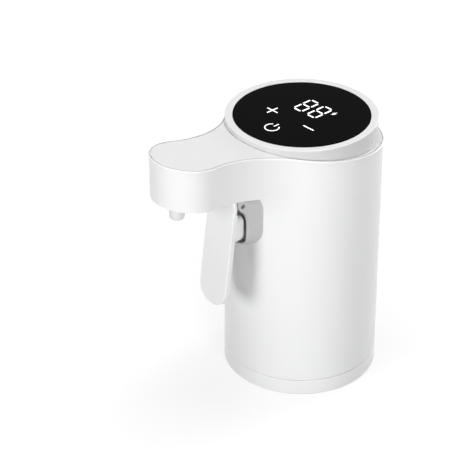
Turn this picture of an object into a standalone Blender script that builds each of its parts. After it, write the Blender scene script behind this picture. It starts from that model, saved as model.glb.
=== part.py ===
"""Automatic wine dispenser that stands on the neck of a bottle.

The body's axis is the construction axis: it runs up +Z, the arm points to -Y, and +X is the side that
the hinge pin shows on. An empty called body_axis carries every piece, and moves the whole so that the
middle of its footprint lies over the origin. Lengths are in metres.
"""
import bpy
import bmesh
from math import atan2, cos, pi, radians, sin, sqrt, tan
from mathutils import Matrix, Vector

mm = 0.001

# Fits that repeat
gap = 0.3 * mm              # between neighbouring pieces
overrun = 1.0 * mm          # how far a cutter passes the faces that it cuts
merge = 0.001 * mm          # vertices closer than this are one

# Body tube
body_radius = 40.0 * mm
wall = 2.2 * mm             # below the chassis
upper_wall = 3.0 * mm       # thicker above it, so that the chassis seats under a step

# Arm, in plan: an end circle that two hollow fillets join to the body
arm_reach = 75.4 * mm       # body axis to the centre of the arm's end
spout_radius = 17.7 * mm
arm_fillet = 48.4 * mm
arm_depth = 22.9 * mm       # measured straight down
arm_floor = 2.2 * mm
head_height = 135.2 * mm    # top of the cover, on the body's axis
head_tilt = radians(8.5)    # the head rises toward the end of the arm

# Top cover
cover_edge = 1.2 * mm       # the part of the cover that shows above the seam
cover_skin = 2.0 * mm
cover_round = 0.5 * mm
cover_overhang = 0.3 * mm
cover_rib = 1.2 * mm        # wall of the rib that locates the cover
cover_rib_depth = 3.0 * mm
collar_inset = 4.4 * mm     # body's radius less the collar's, the ring that the display bezel seats in
collar_width = 4.0 * mm
collar_lip = 0.6 * mm       # wall left round the seat
collar_ledge = 1.6 * mm

# Base cover
base_height = 8.5 * mm
base_floor = 3.0 * mm
base_round = 1.8 * mm
spigot_wall = 1.6 * mm
spigot_height = 4.0 * mm

# Socket for the bottle's neck
socket_bore = 17.0 * mm     # radius
socket_wall = 2.0 * mm
socket_depth = 30.0 * mm
socket_roof = 3.0 * mm
socket_lip = 0.6 * mm       # the sleeve ends this far above the foot
socket_flange_rim = 1.0 * mm    # flange beyond the bosses for the base screws
socket_flange = 2.0 * mm

# Stopper
stopper_core = 9.2 * mm     # radius between the ribs
stopper_rib = 10.0 * mm     # radius over the ribs
stopper_length = 18.7 * mm
stopper_flange_play = 0.7 * mm
stopper_flange = 3.0 * mm
stopper_ribs = 3

# Pipes through the stopper
pipe_radius = 2.5 * mm
pipe_bore = 1.5 * mm
pipe_offset = 4.3 * mm      # the wine pipe stands this far in front of the axis, the air pipe behind
pipe_below = 3.5 * mm       # beyond the stopper's end
pipe_above = 8.0 * mm       # above the chassis

# Chassis
chassis_thickness = 2.5 * mm
boss_radius = 3.2 * mm
post_spread = 12.0 * mm     # from the middle plane
post_width = 5.0 * mm
post_depth = 4.0 * mm
post_height = 44.0 * mm

# Battery and its cradle
cell_radius = 9.15 * mm
cell_length = 65.0 * mm
cell_rim = 1.2 * mm
cell_button = 3.0 * mm
cradle_wall = 1.5 * mm
cradle_floor = 1.5 * mm
cradle_slot = 9.0 * mm
cradle_sill = 3.0 * mm      # height left under the slot
cell_cradle_height = 40.0 * mm
cell_angle = radians(-4.0)
side_gap = 0.6 * mm         # cradles to the housing's inner face

# Pump
motor_share = 0.327         # motor's radius as a share of the housing's inner radius
motor_length = 30.8 * mm
motor_collar_radius = 5.0 * mm
motor_collar = 1.2 * mm
motor_chamfer = 1.2 * mm
pump_rim = 0.5 * mm         # pump's radius beyond the motor's
pump_length = 19.0 * mm
pump_chamfer = 1.2 * mm
pump_wall = 4.6 * mm
pump_cavity_depth = 14.0 * mm
pump_cradle_height = 24.0 * mm
pump_angle = radians(172.0)
port_radius = 2.2 * mm
port_bore = 1.0 * mm
port_length = 4.5 * mm
port_offset = 6.0 * mm      # from the pump's axis toward the body's axis
shaft_radius = 1.0 * mm
shaft_seat = 6.0 * mm       # length inside the motor
shaft_fit = 0.1 * mm
cam_radius = 4.0 * mm
cam_throw = 1.2 * mm
cam_height = 6.0 * mm
cam_rise = 3.0 * mm         # above the motor's collar
valve_radius = 4.2 * mm
valve_length = 13.0 * mm
valve_neck = 2.2 * mm
valve_neck_length = 4.0 * mm

# Hoses and leads
hose_radius = 2.6 * mm
hose_bend = 11.0 * mm
air_hose_radius = 2.2 * mm
air_arch = 9.0 * mm         # height of its arch above the port
lead_radius = 0.8 * mm
lead_stub = 4.0 * mm        # straight length at each end
lead_lift = 3.0 * mm
cable_radius = 1.5 * mm

# Boards
board_thickness = 1.6 * mm
board_height = 58.0 * mm
board_inset = 8.0 * mm      # body's radius less the back face's distance from the body's axis
board_margin = 1.1 * mm     # side edges to the housing's inner face
chip_size = 9.0 * mm
chip_height = 1.4 * mm
lead_spread = 7.0 * mm      # where the leads meet the board, from the middle plane
lead_drop = 8.0 * mm        # and from its top edge

# Charging inlet
inlet_width = 9.0 * mm
inlet_height = 3.2 * mm
inlet_wall = 0.35 * mm
inlet_depth = 6.2 * mm
inlet_tongue = 0.7 * mm
inlet_tongue_width = 5.8 * mm
inlet_rise = 13.0 * mm      # above the chassis

# Display pod on the head
pod_offset = 1.5 * mm       # its axis stands this far in front of the body's
pod_rise = 8.8 * mm         # its level top above the head's height
pod_inset = 1.5 * mm        # body's radius less the pod's
pod_draft = 0.7 * mm        # its foot is slimmer than its top by this, all round
pod_round = 0.7 * mm
pod_rim = 4.0 * mm          # width of the ring round the window
window_thickness = 1.6 * mm
window_recess = 0.2 * mm
ledge_width = 5.5 * mm      # under the window's edge
ledge_thickness = 2.0 * mm
spigot_skin = 2.9 * mm      # wall of the part that enters the cover
pod_spigot_depth = 5.0 * mm
display_board_play = 0.4 * mm
digit_width = 22.0 * mm
digit_depth = 15.0 * mm
digit_corner = 0.7 * mm
digit_share = 0.226         # places of digits and keys from the pod's axis, as shares of the window's radius
key_side_share = 0.368
key_side_ahead_share = 0.229
key_power_ahead_share = 0.597
key_radius = 2.6 * mm
key_wire = 0.15 * mm        # radius of the wire
key_turns = 2
cable_place = 10.0 * mm     # behind the pod's axis

# Nozzle
nozzle_ahead = 6.1 * mm     # of the centre of the arm's end
nozzle_radius = 4.0 * mm
nozzle_bore = 1.8 * mm
nozzle_drop = 9.2 * mm      # below the arm
nozzle_round = 1.0 * mm
nozzle_flange_radius = 7.0 * mm
nozzle_flange = 1.4 * mm
nozzle_stub = 2.5 * mm
seal_thickness = 0.8 * mm   # at the thin edge

# Lever bracket on the body under the arm. Depths of bracket, ears, hinge, lever and pusher are from the
# body's front, and their rises and drops are from the bracket's middle
bracket_width = 26.6 * mm
bracket_height = 33.0 * mm
bracket_drop = 20.78 * mm   # its middle below the arm's underside at the body's front
bracket_corner = 8.5 * mm
bracket_depth = 6.0 * mm
bracket_draft = 1.6 * mm    # the rim is smaller than the foot by this, all round
bracket_edge = 0.7 * mm
recess_depth = 3.4 * mm
recess_play = 0.7 * mm      # round the pusher's sides
recess_swing = 1.9 * mm     # above and below the pusher
ear_width = 2.0 * mm
ear_outer = 9.9 * mm        # outer face, from the middle plane
ear_depth = 11.0 * mm
ear_top_rise = 19.0 * mm
ear_neck_depth = 8.0 * mm   # at the hollow below the hinge
ear_low_rise = 11.5 * mm
ear_foot_rise = 7.0 * mm
ear_chamfer = 1.5 * mm

# Lever
hinge_depth = 8.6 * mm
hinge_rise = 15.3 * mm
pin_radius = 1.1 * mm
pin_head_radius = 1.7 * mm
pin_head = 0.5 * mm
pin_fit = 0.1 * mm
knuckle_radius = 2.6 * mm
knuckle_half = 2.4 * mm
lever_width = 20.0 * mm
lever_thickness = 3.0 * mm
lever_rise = 18.5 * mm
lever_drop = 41.0 * mm
lever_lean = radians(7.4)
lever_depth = 15.5 * mm     # of its front face at the bracket's middle
lever_corner = 8.8 * mm
lever_top_corner = 2.0 * mm
lever_edge = 0.7 * mm
lever_pocket = 1.4 * mm     # depth of the pockets behind it that clear ears and spring
pocket_play = 0.6 * mm
pusher_half = 9.1 * mm
pusher_drop = 6.9 * mm
pusher_rise = 6.5 * mm
pusher_depth = 5.7 * mm
pusher_corner = 3.0 * mm
pusher_edge = 0.7 * mm

# Return spring round the hinge pin
spring_wire = 0.25 * mm     # radius of the wire
spring_radius = 1.75 * mm
spring_turns = 2.5          # it starts behind the pin and ends in front of it
spring_pitch = 1.15 * mm
spring_leg = 4.0 * mm
spring_start = 3.8 * mm     # from the middle plane

# Switch behind the bracket
plunger_radius = 1.7 * mm
plunger_rise = 0.1 * mm
plunger_fit = 0.25 * mm
plunger_edge = 0.35 * mm
switch_width = 12.8 * mm
switch_height = 6.5 * mm
switch_depth = 5.8 * mm
switch_travel = 1.6 * mm
shelf_thickness = 1.2 * mm
switch_lead_place = 3.0 * mm

# Screws
screw_radius = 1.0 * mm
screw_fit = 0.2 * mm
screw_head_radius = 2.2 * mm
screw_head = 1.1 * mm
screw_recess = 0.5 * mm
base_screw_length = 12.0 * mm
bracket_screw_length = 7.0 * mm
bracket_screw_rise = 11.0 * mm
board_screw_length = 5.0 * mm
bezel_screw_shank = 0.6 * mm
bezel_screw_head = 1.4 * mm
bezel_screw_length = 6.0 * mm

# Steps round a full circle, or along a stretch of the plan
round_steps = 48
tube_steps = 28
small_steps = 20
screw_steps = 10
curl_steps = 8
fillet_steps = 8
spout_steps = 16
front_steps = 12
back_steps = 36
corner_steps = 3
bend_steps = 3
route_pieces = 2            # between neighbouring points of a hose's route

# Routes. Air hose: share of the way from port to valve, and of the arch; then shares of the fall
air_rise_shares = ((0.0, 0.35), (0.16, 0.8), (0.5, 1.0), (0.84, 0.8), (1.0, 0.3))
air_fall_shares = (0.3, 0.65, 0.85)
# Wine hose: shares of its rise; then share of the way along the arm, and of the arm's depth
wine_rise_shares = (0.1, 0.5, 0.85)
wine_run_shares = ((0.2, 0.56), (0.42, 0.54), (0.62, 0.46), (0.78, 0.35), (0.9, 0.275), (0.975, 0.29))
hose_drop_share = 0.57      # share of the arm's depth at which the hose enters the arm

# Radii that follow from the body's, from the collar inward and from the motor to its pump
lower_inner = body_radius - wall
upper_inner = body_radius - upper_wall
collar_radius = body_radius - collar_inset
collar_bore = collar_radius - collar_width
pod_spigot = collar_radius - collar_lip - gap
pod_bore = pod_spigot - spigot_skin
bezel_screw_ring = (pod_spigot + pod_bore) / 2
display_board_radius = pod_bore - display_board_play
pod_radius = body_radius - pod_inset
pod_foot_radius = pod_radius - pod_draft
window_radius = pod_radius - pod_rim
window_ledge = window_radius - ledge_width
motor_radius = upper_inner * motor_share
pump_radius = motor_radius + pump_rim
pump_cavity_radius = pump_radius - pump_wall
spigot_outer = lower_inner - gap
spigot_inner = spigot_outer - spigot_wall
socket_radius = socket_bore + socket_wall
boss_ring = (socket_radius + spigot_inner) / 2
socket_flange_radius = boss_ring + boss_radius + socket_flange_rim
stopper_flange_radius = socket_bore - stopper_flange_play

# Places that follow from the sizes above
head_slope = tan(head_tilt)
spout_tip = arm_reach + spout_radius + cover_overhang
body_back = body_radius + cover_overhang
axis_y = (spout_tip - body_back) / 2
housing_bottom = base_height + gap
chassis_bottom = socket_depth + socket_roof + gap
chassis_top = chassis_bottom + chassis_thickness
step_height = chassis_top + gap
chassis_radius = lower_inner - gap
cradle_bottom = chassis_top + gap
seat_height = cradle_bottom + cradle_floor + gap
pipe_top = chassis_top + pipe_above
inlet_z = chassis_top + inlet_rise
cell_near = upper_inner - side_gap - cradle_wall - gap - 2 * cell_radius
board_chord = body_radius - board_inset
board_side = sqrt(upper_inner ** 2 - board_chord ** 2) - board_margin
board_front = board_chord - board_thickness
board_top = chassis_top + gap + board_height
board_screw_z = chassis_top + post_height - post_width
pod_top = head_height + pod_rise
window_top = pod_top - window_recess
window_bottom = window_top - window_thickness
ledge_top = window_bottom - gap
ledge_bottom = ledge_top - ledge_thickness
display_board_top = ledge_bottom - gap
display_board_low = display_board_top - board_thickness
pod_y = -pod_offset
collar_seat = pod_spigot_depth + gap
collar_low = collar_seat + collar_ledge
nozzle_y = -(arm_reach + nozzle_ahead)
bracket_back = -body_radius - gap
bracket_front = -body_radius - bracket_depth
bracket_middle = head_height - arm_depth + head_slope * body_radius - bracket_drop
ear_front = -body_radius - ear_depth
ear_neck = -body_radius - ear_neck_depth
ear_top = bracket_middle + ear_top_rise
ear_low = bracket_middle + ear_low_rise
ear_foot = bracket_middle + ear_foot_rise
hinge_reach = body_radius + hinge_depth
hinge_height = bracket_middle + hinge_rise
lever_top = bracket_middle + lever_rise
lever_bottom = bracket_middle - lever_drop
pusher_reach = body_radius + pusher_depth
pusher_low = bracket_middle - pusher_drop
pusher_high = bracket_middle + pusher_rise
plunger_height = bracket_middle + plunger_rise
switch_face = gap - sqrt(upper_inner ** 2 - (switch_width / 2) ** 2)
plunger_hole = plunger_radius + plunger_fit

# The plan's fillets: where their centres lie, and the angles at which they touch both circles
body_to_fillet = body_radius + arm_fillet
spout_to_fillet = spout_radius + arm_fillet
fillet_y = (arm_reach ** 2 + body_to_fillet ** 2 - spout_to_fillet ** 2) / (2 * arm_reach)
fillet_x = sqrt(body_to_fillet ** 2 - fillet_y ** 2)
body_touch = atan2(fillet_x, fillet_y)
spout_touch = atan2(arm_reach - fillet_y, fillet_x)

# Where the screws and pipes stand, seen from above
pipe_places = (("wine", -pipe_offset), ("air", pipe_offset))
post_places = (-post_spread, post_spread)
base_screw_places = [(boss_ring * cos(a), boss_ring * sin(a)) for a in (pi / 2, pi * 7 / 6, pi * 11 / 6)]
bezel_screw_angles = (pi / 6, pi * 5 / 6, pi * 3 / 2)
bezel_screw_places = [(bezel_screw_ring * cos(a), pod_y + bezel_screw_ring * sin(a)) for a in bezel_screw_angles]
bracket_screw_places = (("upper", bracket_middle + bracket_screw_rise),
                        ("lower", bracket_middle - bracket_screw_rise))


def head_at(y, drop=0.0):
    """Height of the sloping head plane at y, lowered by drop."""
    return head_height - drop - head_slope * y


def under_at(y):
    """Height of the arm's underside."""
    return head_at(y, arm_depth)


def floor_at(y):
    """Height of the floor inside the arm."""
    return head_at(y, arm_depth - arm_floor)


def finish(name, colour, roughness, metallic=0.0):
    """A plain Principled material."""
    made = bpy.data.materials.new(name)
    made.use_nodes = True
    shader = made.node_tree.nodes["Principled BSDF"]
    shader.inputs["Base Color"].default_value = (*colour, 1.0)
    shader.inputs["Roughness"].default_value = roughness
    shader.inputs["Metallic"].default_value = metallic
    made.diffuse_color = (*colour, 1.0)
    return made


def empty(name, parent=None, place=(0.0, 0.0, 0.0)):
    mark = bpy.data.objects.new(name, None)
    bpy.context.scene.collection.objects.link(mark)
    mark.parent = parent
    mark.location = place
    return mark


def link(name, data, parent, place):
    made = bpy.data.objects.new(name, data)
    bpy.context.scene.collection.objects.link(made)
    made.parent = parent
    made.location = place
    return made


def to_object(name, form, parent, material=None, place=(0.0, 0.0, 0.0)):
    """Make an object of a bmesh that is given in the parent's frame. Its origin goes to place."""
    bmesh.ops.remove_doubles(form, verts=form.verts, dist=merge)
    bmesh.ops.recalc_face_normals(form, faces=form.faces)
    form.transform(Matrix.Translation(-Vector(place)))
    mesh = bpy.data.meshes.new(name)
    form.to_mesh(mesh)
    form.free()
    mesh.shade_smooth()
    mesh.set_sharp_from_angle(angle=radians(32.0))
    if material is not None:
        mesh.materials.append(material)
    return link(name, mesh, parent, place)


def combine(target, form, operation, label):
    """Give the target a Boolean with a hidden form."""
    tool = to_object(target.name + "_" + label, form, target.parent)
    tool.hide_render = True
    tool.display_type = "WIRE"
    change = target.modifiers.new(label, "BOOLEAN")
    change.operation = operation
    change.solver = "EXACT"
    change.object = tool


def cut(target, form, label):
    combine(target, form, "DIFFERENCE", label)


def join(target, form, label):
    combine(target, form, "UNION", label)


def arc(centre, radius, start, end, steps, ends=True):
    """Points of an arc from the angle start to the angle end, with or without both end points."""
    first = 0 if ends else 1
    points = []
    for i in range(first, steps + 1 - first):
        angle = start + (end - start) * i / steps
        points.append((centre[0] + radius * cos(angle), centre[1] + radius * sin(angle)))
    return points


def circle(radius, steps=round_steps, centre=(0.0, 0.0)):
    return arc(centre, radius, 0.0, 2 * pi, steps)[:-1]


def rounded_box(width, height, corner, steps=corner_steps):
    """Outline of a rectangle with round corners, centred on zero."""
    x = width / 2 - corner
    y = height / 2 - corner
    points = []
    for place, start in (((x, y), 0.0), ((-x, y), pi / 2), ((-x, -y), pi), ((x, -y), 3 * pi / 2)):
        points += arc(place, corner, start, start + pi / 2, steps)
    return points


def loop_of(form, points):
    return [form.verts.new(point) for point in points]


def strip(form, first, second):
    """Quads between two closed loops of as many points."""
    count = len(first)
    for i in range(count):
        j = (i + 1) % count
        form.faces.new((first[i], first[j], second[j], second[i]))


def loft(loops, closed=False):
    """A solid through loops of as many points, capped at both ends or closed on itself."""
    form = bmesh.new()
    rows = [loop_of(form, points) for points in loops]
    for low, high in zip(rows, rows[1:]):
        strip(form, low, high)
    if closed:
        strip(form, rows[-1], rows[0])
    else:
        form.faces.new(rows[0])
        form.faces.new(rows[-1])
    return form


def at_height(points, z):
    return [(x, y, z) for x, y in points]


def at_plane(points, height):
    """Points lifted to a height that is a function of y."""
    return [(x, y, height(y)) for x, y in points]


def below_head(points, drop):
    """Points on the sloping head plane, lowered by drop."""
    return [(x, y, head_at(y, drop)) for x, y in points]


def prism(points, low, high):
    return loft([at_height(points, low), at_height(points, high)])


def rod(radius, low, high, centre=(0.0, 0.0), steps=small_steps):
    return prism(circle(radius, steps, centre), low, high)


def box(low, high):
    points = [(low[0], low[1]), (high[0], low[1]), (high[0], high[1]), (low[0], high[1])]
    return prism(points, low[2], high[2])


def turned(profile, steps=small_steps, ring=False, centre=(0.0, 0.0)):
    """Spin a profile of (radius, height) points round an upright axis. ring closes the profile."""
    form = bmesh.new()
    verts = [form.verts.new((radius, 0.0, z)) for radius, z in profile]
    edges = [form.edges.new(pair) for pair in zip(verts, verts[1:])]
    if ring:
        edges.append(form.edges.new((verts[-1], verts[0])))
    bmesh.ops.spin(form, geom=verts + edges, cent=(0, 0, 0), axis=(0, 0, 1), angle=2 * pi, steps=steps)
    bmesh.ops.remove_doubles(form, verts=form.verts, dist=merge)
    form.transform(Matrix.Translation((centre[0], centre[1], 0.0)))
    return form


def lying_along_x(form, y, z):
    """Turn an upright form so that its top looks to +X and its axis runs through (y, z)."""
    form.transform(Matrix.Translation((0.0, y, z)) @ Matrix.Rotation(pi / 2, 4, "Y"))
    return form


def lying_along_y(form, x, z):
    """Turn an upright form so that its top looks to +Y and its axis runs through (x, z)."""
    form.transform(Matrix.Translation((x, 0.0, z)) @ Matrix.Rotation(-pi / 2, 4, "X"))
    return form


def smooth(points):
    """Points of a smooth curve through a route's own points. Its first and last spans are straight."""
    spots = [Vector(point) for point in points]
    route = [spots[0]]
    for before, start, end, after in zip(spots, spots[1:], spots[2:], spots[3:]):
        for k in range(route_pieces):
            t = k / route_pieces
            straight = 2 * start + (end - before) * t
            bend = (2 * before - 5 * start + 4 * end - after) * t ** 2
            twist = (3 * start - before - 3 * end + after) * t ** 3
            route.append((straight + bend + twist) / 2)
    return route + spots[-2:]


def strand(name, points, radius, material, parent, place=(0.0, 0.0, 0.0), resolution=2):
    """A round hose, lead or wire along points that are given from place."""
    curve = bpy.data.curves.new(name, "CURVE")
    curve.dimensions = "3D"
    curve.bevel_depth = radius
    curve.bevel_resolution = resolution
    curve.use_fill_caps = True
    spline = curve.splines.new("POLY")
    spline.points.add(len(points) - 1)
    for spot, point in zip(spline.points, points):
        spot.co = (*point, 1.0)
    curve.materials.append(material)
    return link(name, curve, parent, place)


def coil(radius, pitch, turns, start=0.0):
    """Points of a helix round Z, from height zero and the angle start."""
    count = round(turns * curl_steps)
    points = []
    for i in range(count + 1):
        angle = start + 2 * pi * i / curl_steps
        points.append(Vector((radius * cos(angle), radius * sin(angle), pitch * i / curl_steps)))
    return points


def least_gap(points, radius):
    """The least clearance of a coil's wire to itself, measured on points half a turn or more apart."""
    apart = curl_steps // 2
    pairs = [(a, b) for i, a in enumerate(points) for b in points[i + apart:]]
    return min((a - b).length for a, b in pairs) - 2 * radius


def lead(name, start, out, end, into, radius, material, parent):
    """A lead that leaves one piece along out and meets another along into."""
    start = Vector(start)
    end = Vector(end)
    leaves = start + Vector(out) * lead_stub
    meets = end - Vector(into) * lead_stub
    crown = (leaves + meets) / 2
    crown.z = max(crown.z, start.z) + lead_lift
    return strand(name, smooth([start, leaves, crown, meets, end]), radius, material, parent, resolution=1)


def arm_points(offset):
    """The arm's outline from its left touch point to its right one, grown by offset."""
    hollow = arm_fillet - offset
    left = arc((-fillet_x, -fillet_y), hollow, pi / 2 - body_touch, -spout_touch, fillet_steps)
    tip = (0.0, -arm_reach)
    end = arc(tip, spout_radius + offset, pi - spout_touch, 2 * pi + spout_touch, spout_steps, False)
    right = arc((fillet_x, -fillet_y), hollow, pi + spout_touch, pi / 2 + body_touch, fillet_steps)
    return left + end + right


def back_points(radius):
    """The body's circle behind the touch points, from the right one to the left one."""
    return arc((0.0, 0.0), radius, body_touch - pi / 2, 3 * pi / 2 - body_touch, back_steps, False)


def front_points(radius):
    """The body's circle between the touch points, from the left one to the right one."""
    return arc((0.0, 0.0), radius, -pi / 2 - body_touch, -pi / 2 + body_touch, front_steps, False)


def plan(offset):
    """Outline of body and arm together."""
    return arm_points(offset) + back_points(body_radius + offset)


def body_circle(radius):
    """The body's circle, with its points where the plan's are."""
    left = (-radius * sin(body_touch), -radius * cos(body_touch))
    right = (-left[0], left[1])
    return [left] + front_points(radius) + [right] + back_points(radius)


def skin(form, offset, top, under):
    """Side wall of body and arm between two planes, and the arm's underside. Returns both open loops."""
    radius = body_radius + offset
    arm = arm_points(offset)
    back = back_points(radius)
    upper = loop_of(form, at_plane(arm + back, top))
    lower = loop_of(form, at_plane(arm + back, under))
    strip(form, upper, lower)
    front = loop_of(form, at_plane(front_points(radius), under))
    count = len(arm)
    form.faces.new(lower[:count] + front[::-1])
    return upper, [lower[0]] + front + [lower[count - 1]] + lower[count:]


def build_housing(parent, plastic):
    """Body tube and arm in one moulding, open at the top and at the bottom."""
    def top(y):
        return head_at(y, cover_edge + gap)

    form = bmesh.new()
    outer_top, outer_low = skin(form, 0.0, top, under_at)
    inner_top, inner_low = skin(form, -upper_wall, top, floor_at)
    outer_end = loop_of(form, at_height(body_circle(body_radius), housing_bottom))
    step_in = loop_of(form, at_height(body_circle(upper_inner), step_height))
    step_out = loop_of(form, at_height(body_circle(lower_inner), step_height))
    inner_end = loop_of(form, at_height(body_circle(lower_inner), housing_bottom))
    strip(form, outer_top, inner_top)
    strip(form, outer_low, outer_end)
    strip(form, inner_low, step_in)
    strip(form, step_in, step_out)
    strip(form, step_out, inner_end)
    strip(form, inner_end, outer_end)
    housing = to_object("main_housing", form, parent, plastic)

    shelf_top = plunger_height - switch_height / 2 - gap
    shelf_low = (-switch_width / 2, switch_face - upper_wall / 2, shelf_top - shelf_thickness)
    shelf_high = (switch_width / 2, switch_face + switch_depth, shelf_top)
    join(housing, box(shelf_low, shelf_high), "switch_shelf")

    hole_low = under_at(nozzle_y + nozzle_radius) - overrun
    hole_high = floor_at(nozzle_y - nozzle_radius) + overrun
    cut(housing, rod(nozzle_radius + gap, hole_low, hole_high, (0.0, nozzle_y)), "nozzle_hole")
    hole = rod(plunger_hole, -body_radius - overrun, overrun - upper_inner)
    cut(housing, lying_along_y(hole, 0.0, plunger_height), "plunger_hole")
    for label, z in bracket_screw_places:
        hole = rod(screw_radius + screw_fit, -body_radius - overrun, overrun - upper_inner, steps=screw_steps)
        cut(housing, lying_along_y(hole, 0.0, z), "screw_hole_" + label)
    height = inlet_height + 2 * gap
    slot = prism(rounded_box(inlet_width + 2 * gap, height, height / 2 - merge),
                 upper_inner - overrun, body_radius + overrun)
    cut(housing, lying_along_y(slot, 0.0, inlet_z), "inlet_hole")


def build_cover(parent, plastic):
    """Plate over arm and shoulder. A rib drops inside the wall, and a collar takes the display bezel."""
    rib_out = -upper_wall - gap
    rib_in = rib_out - cover_rib
    rib_low = cover_edge + cover_rib_depth
    rows = [(cover_overhang - cover_round, 0.0), (cover_overhang, cover_round), (cover_overhang, cover_edge)]
    rows += [(rib_out, cover_edge), (rib_out, rib_low), (rib_in, rib_low), (rib_in, cover_skin)]
    loops = [below_head(plan(offset), drop) for offset, drop in rows]
    cover = to_object("top_cover", loft(loops), parent, plastic)

    centre = (0.0, pod_y)
    outer = circle(collar_radius, round_steps, centre)
    inner = circle(collar_bore, round_steps, centre)
    seat = circle(pod_spigot + gap, round_steps, centre)
    high = cover_skin / 2
    ring = [below_head(outer, high), below_head(outer, collar_low)]
    ring += [below_head(inner, collar_low), below_head(inner, high)]
    join(cover, loft(ring, closed=True), "collar")
    cut(cover, loft([below_head(seat, collar_seat), below_head(seat, -overrun)]), "bezel_seat")
    for number, (x, y) in enumerate(bezel_screw_places, 1):
        low = head_at(y, collar_low) - overrun
        hole = rod(bezel_screw_shank + screw_fit, low, head_at(y, collar_seat) + overrun, (x, y), screw_steps)
        cut(cover, hole, "screw_hole_%d" % number)


def build_base(parent, plastic):
    """Bottom ring with its floor. A spigot locates it in the tube."""
    socket_hole = socket_radius + gap
    top = base_height + spigot_height
    profile = [(socket_hole, 0.0)]
    profile += arc((body_radius - base_round, base_round), base_round, -pi / 2, 0.0, corner_steps)
    profile += [(body_radius, base_height), (spigot_outer, base_height), (spigot_outer, top)]
    profile += [(spigot_inner, top), (spigot_inner, base_floor), (socket_hole, base_floor)]
    base = to_object("base_cover", turned(profile, round_steps, ring=True), parent, plastic)
    for number, place in enumerate(base_screw_places, 1):
        head = screw_head_radius + gap
        shank = screw_radius + screw_fit
        seat = screw_recess + screw_head
        hole = [(0.0, base_floor + overrun), (shank, base_floor + overrun), (shank, seat), (head, seat)]
        hole += [(head, -overrun), (0.0, -overrun)]
        cut(base, turned(hole, screw_steps, centre=place), "screw_hole_%d" % number)


def build_socket(parent, plastic):
    """Sleeve that drops over the bottle's neck, with a roof and a flange on the base's floor."""
    top = socket_depth + socket_roof
    flange_low = base_floor + gap
    flange_high = flange_low + socket_flange
    profile = [(0.0, socket_depth), (socket_bore, socket_depth), (socket_bore, socket_lip)]
    profile += [(socket_radius, socket_lip), (socket_radius, flange_low)]
    profile += [(socket_flange_radius, flange_low), (socket_flange_radius, flange_high)]
    profile += [(socket_radius, flange_high), (socket_radius, top), (0.0, top)]
    socket = to_object("neck_socket", turned(profile, tube_steps), parent, plastic)
    for label, y in pipe_places:
        hole = rod(pipe_radius + gap, socket_depth - overrun, top + overrun, (0.0, y))
        cut(socket, hole, label + "_hole")
    for number, place in enumerate(base_screw_places, 1):
        hole = rod(screw_radius + screw_fit, base_floor, flange_high + overrun, place, screw_steps)
        cut(socket, hole, "screw_hole_%d" % number)


def build_stopper(parent, rubber, steel):
    """Ribbed plug whose flange seals on the bottle's rim, and the two pipes through it."""
    top = socket_depth - gap
    flange_low = top - stopper_flange
    end = flange_low - stopper_length
    rib_span = stopper_length / (stopper_ribs + 1)
    lip = stopper_rib - stopper_core
    profile = [(0.0, top), (stopper_flange_radius, top), (stopper_flange_radius, flange_low)]
    profile.append((stopper_core, flange_low))
    for i in range(stopper_ribs):
        middle = flange_low - rib_span * (i + 1)
        profile += [(stopper_core, middle + 2 * lip), (stopper_rib, middle), (stopper_core, middle - lip)]
    profile += [(stopper_core, end + lip), (stopper_core - lip, end), (0.0, end)]
    stopper = to_object("stopper", turned(profile, tube_steps), parent, rubber)
    low = end - pipe_below
    for label, y in pipe_places:
        cut(stopper, rod(pipe_radius + gap, end - overrun, top + overrun, (0.0, y)), label + "_hole")
        profile = [(pipe_bore, low), (pipe_radius, low), (pipe_radius, pipe_top), (pipe_bore, pipe_top)]
        form = turned(profile, small_steps, ring=True, centre=(0.0, y))
        to_object(label + "_pipe", form, parent, steel, (0.0, y, low))


def build_chassis(parent, plastic):
    """Disc that carries everything inside. Bosses take the base screws, posts hold the main board."""
    disc = rod(chassis_radius, chassis_bottom, chassis_top, steps=round_steps)
    chassis = to_object("chassis_plate", disc, parent, plastic)
    middle = (chassis_bottom + chassis_top) / 2
    boss_low = base_floor + gap + socket_flange + gap
    hole_top = screw_recess + screw_head + base_screw_length + overrun
    for number, place in enumerate(base_screw_places, 1):
        join(chassis, rod(boss_radius, boss_low, middle, place), "boss_%d" % number)
        hole = rod(screw_radius + screw_fit, boss_low - overrun, hole_top, place, screw_steps)
        cut(chassis, hole, "boss_hole_%d" % number)
    back = board_front - gap
    for number, x in enumerate(post_places, 1):
        low = (x - post_width / 2, back - post_depth, middle)
        high = (x + post_width / 2, back, chassis_top + post_height)
        join(chassis, box(low, high), "post_%d" % number)
        hole = rod(screw_radius + screw_fit, back - post_depth - overrun, back + overrun, steps=screw_steps)
        cut(chassis, lying_along_y(hole, x, board_screw_z), "post_hole_%d" % number)
    for label, y in pipe_places:
        hole = rod(pipe_radius + gap, chassis_bottom - overrun, chassis_top + overrun, (0.0, y))
        cut(chassis, hole, label + "_hole")


def cradle(name, inner, angle, height, parent, plastic):
    """Cup against the housing's wall, with a slot down the side that faces the body's axis."""
    outer = inner + cradle_wall
    distance = upper_inner - side_gap - outer
    centre = (distance * cos(angle), distance * sin(angle))
    top = cradle_bottom + height
    floor = cradle_bottom + cradle_floor
    profile = [(0.0, cradle_bottom), (outer, cradle_bottom), (outer, top), (inner, top)]
    profile += [(inner, floor), (0.0, floor)]
    made = to_object(name, turned(profile, tube_steps, centre=centre), parent, plastic, (*centre, cradle_bottom))
    slot = box((-outer - overrun, -cradle_slot / 2, floor + cradle_sill), (0.0, cradle_slot / 2, top + overrun))
    slot.transform(Matrix.Translation((*centre, 0.0)) @ Matrix.Rotation(angle, 4, "Z"))
    cut(made, slot, "slot")
    return centre


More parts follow.
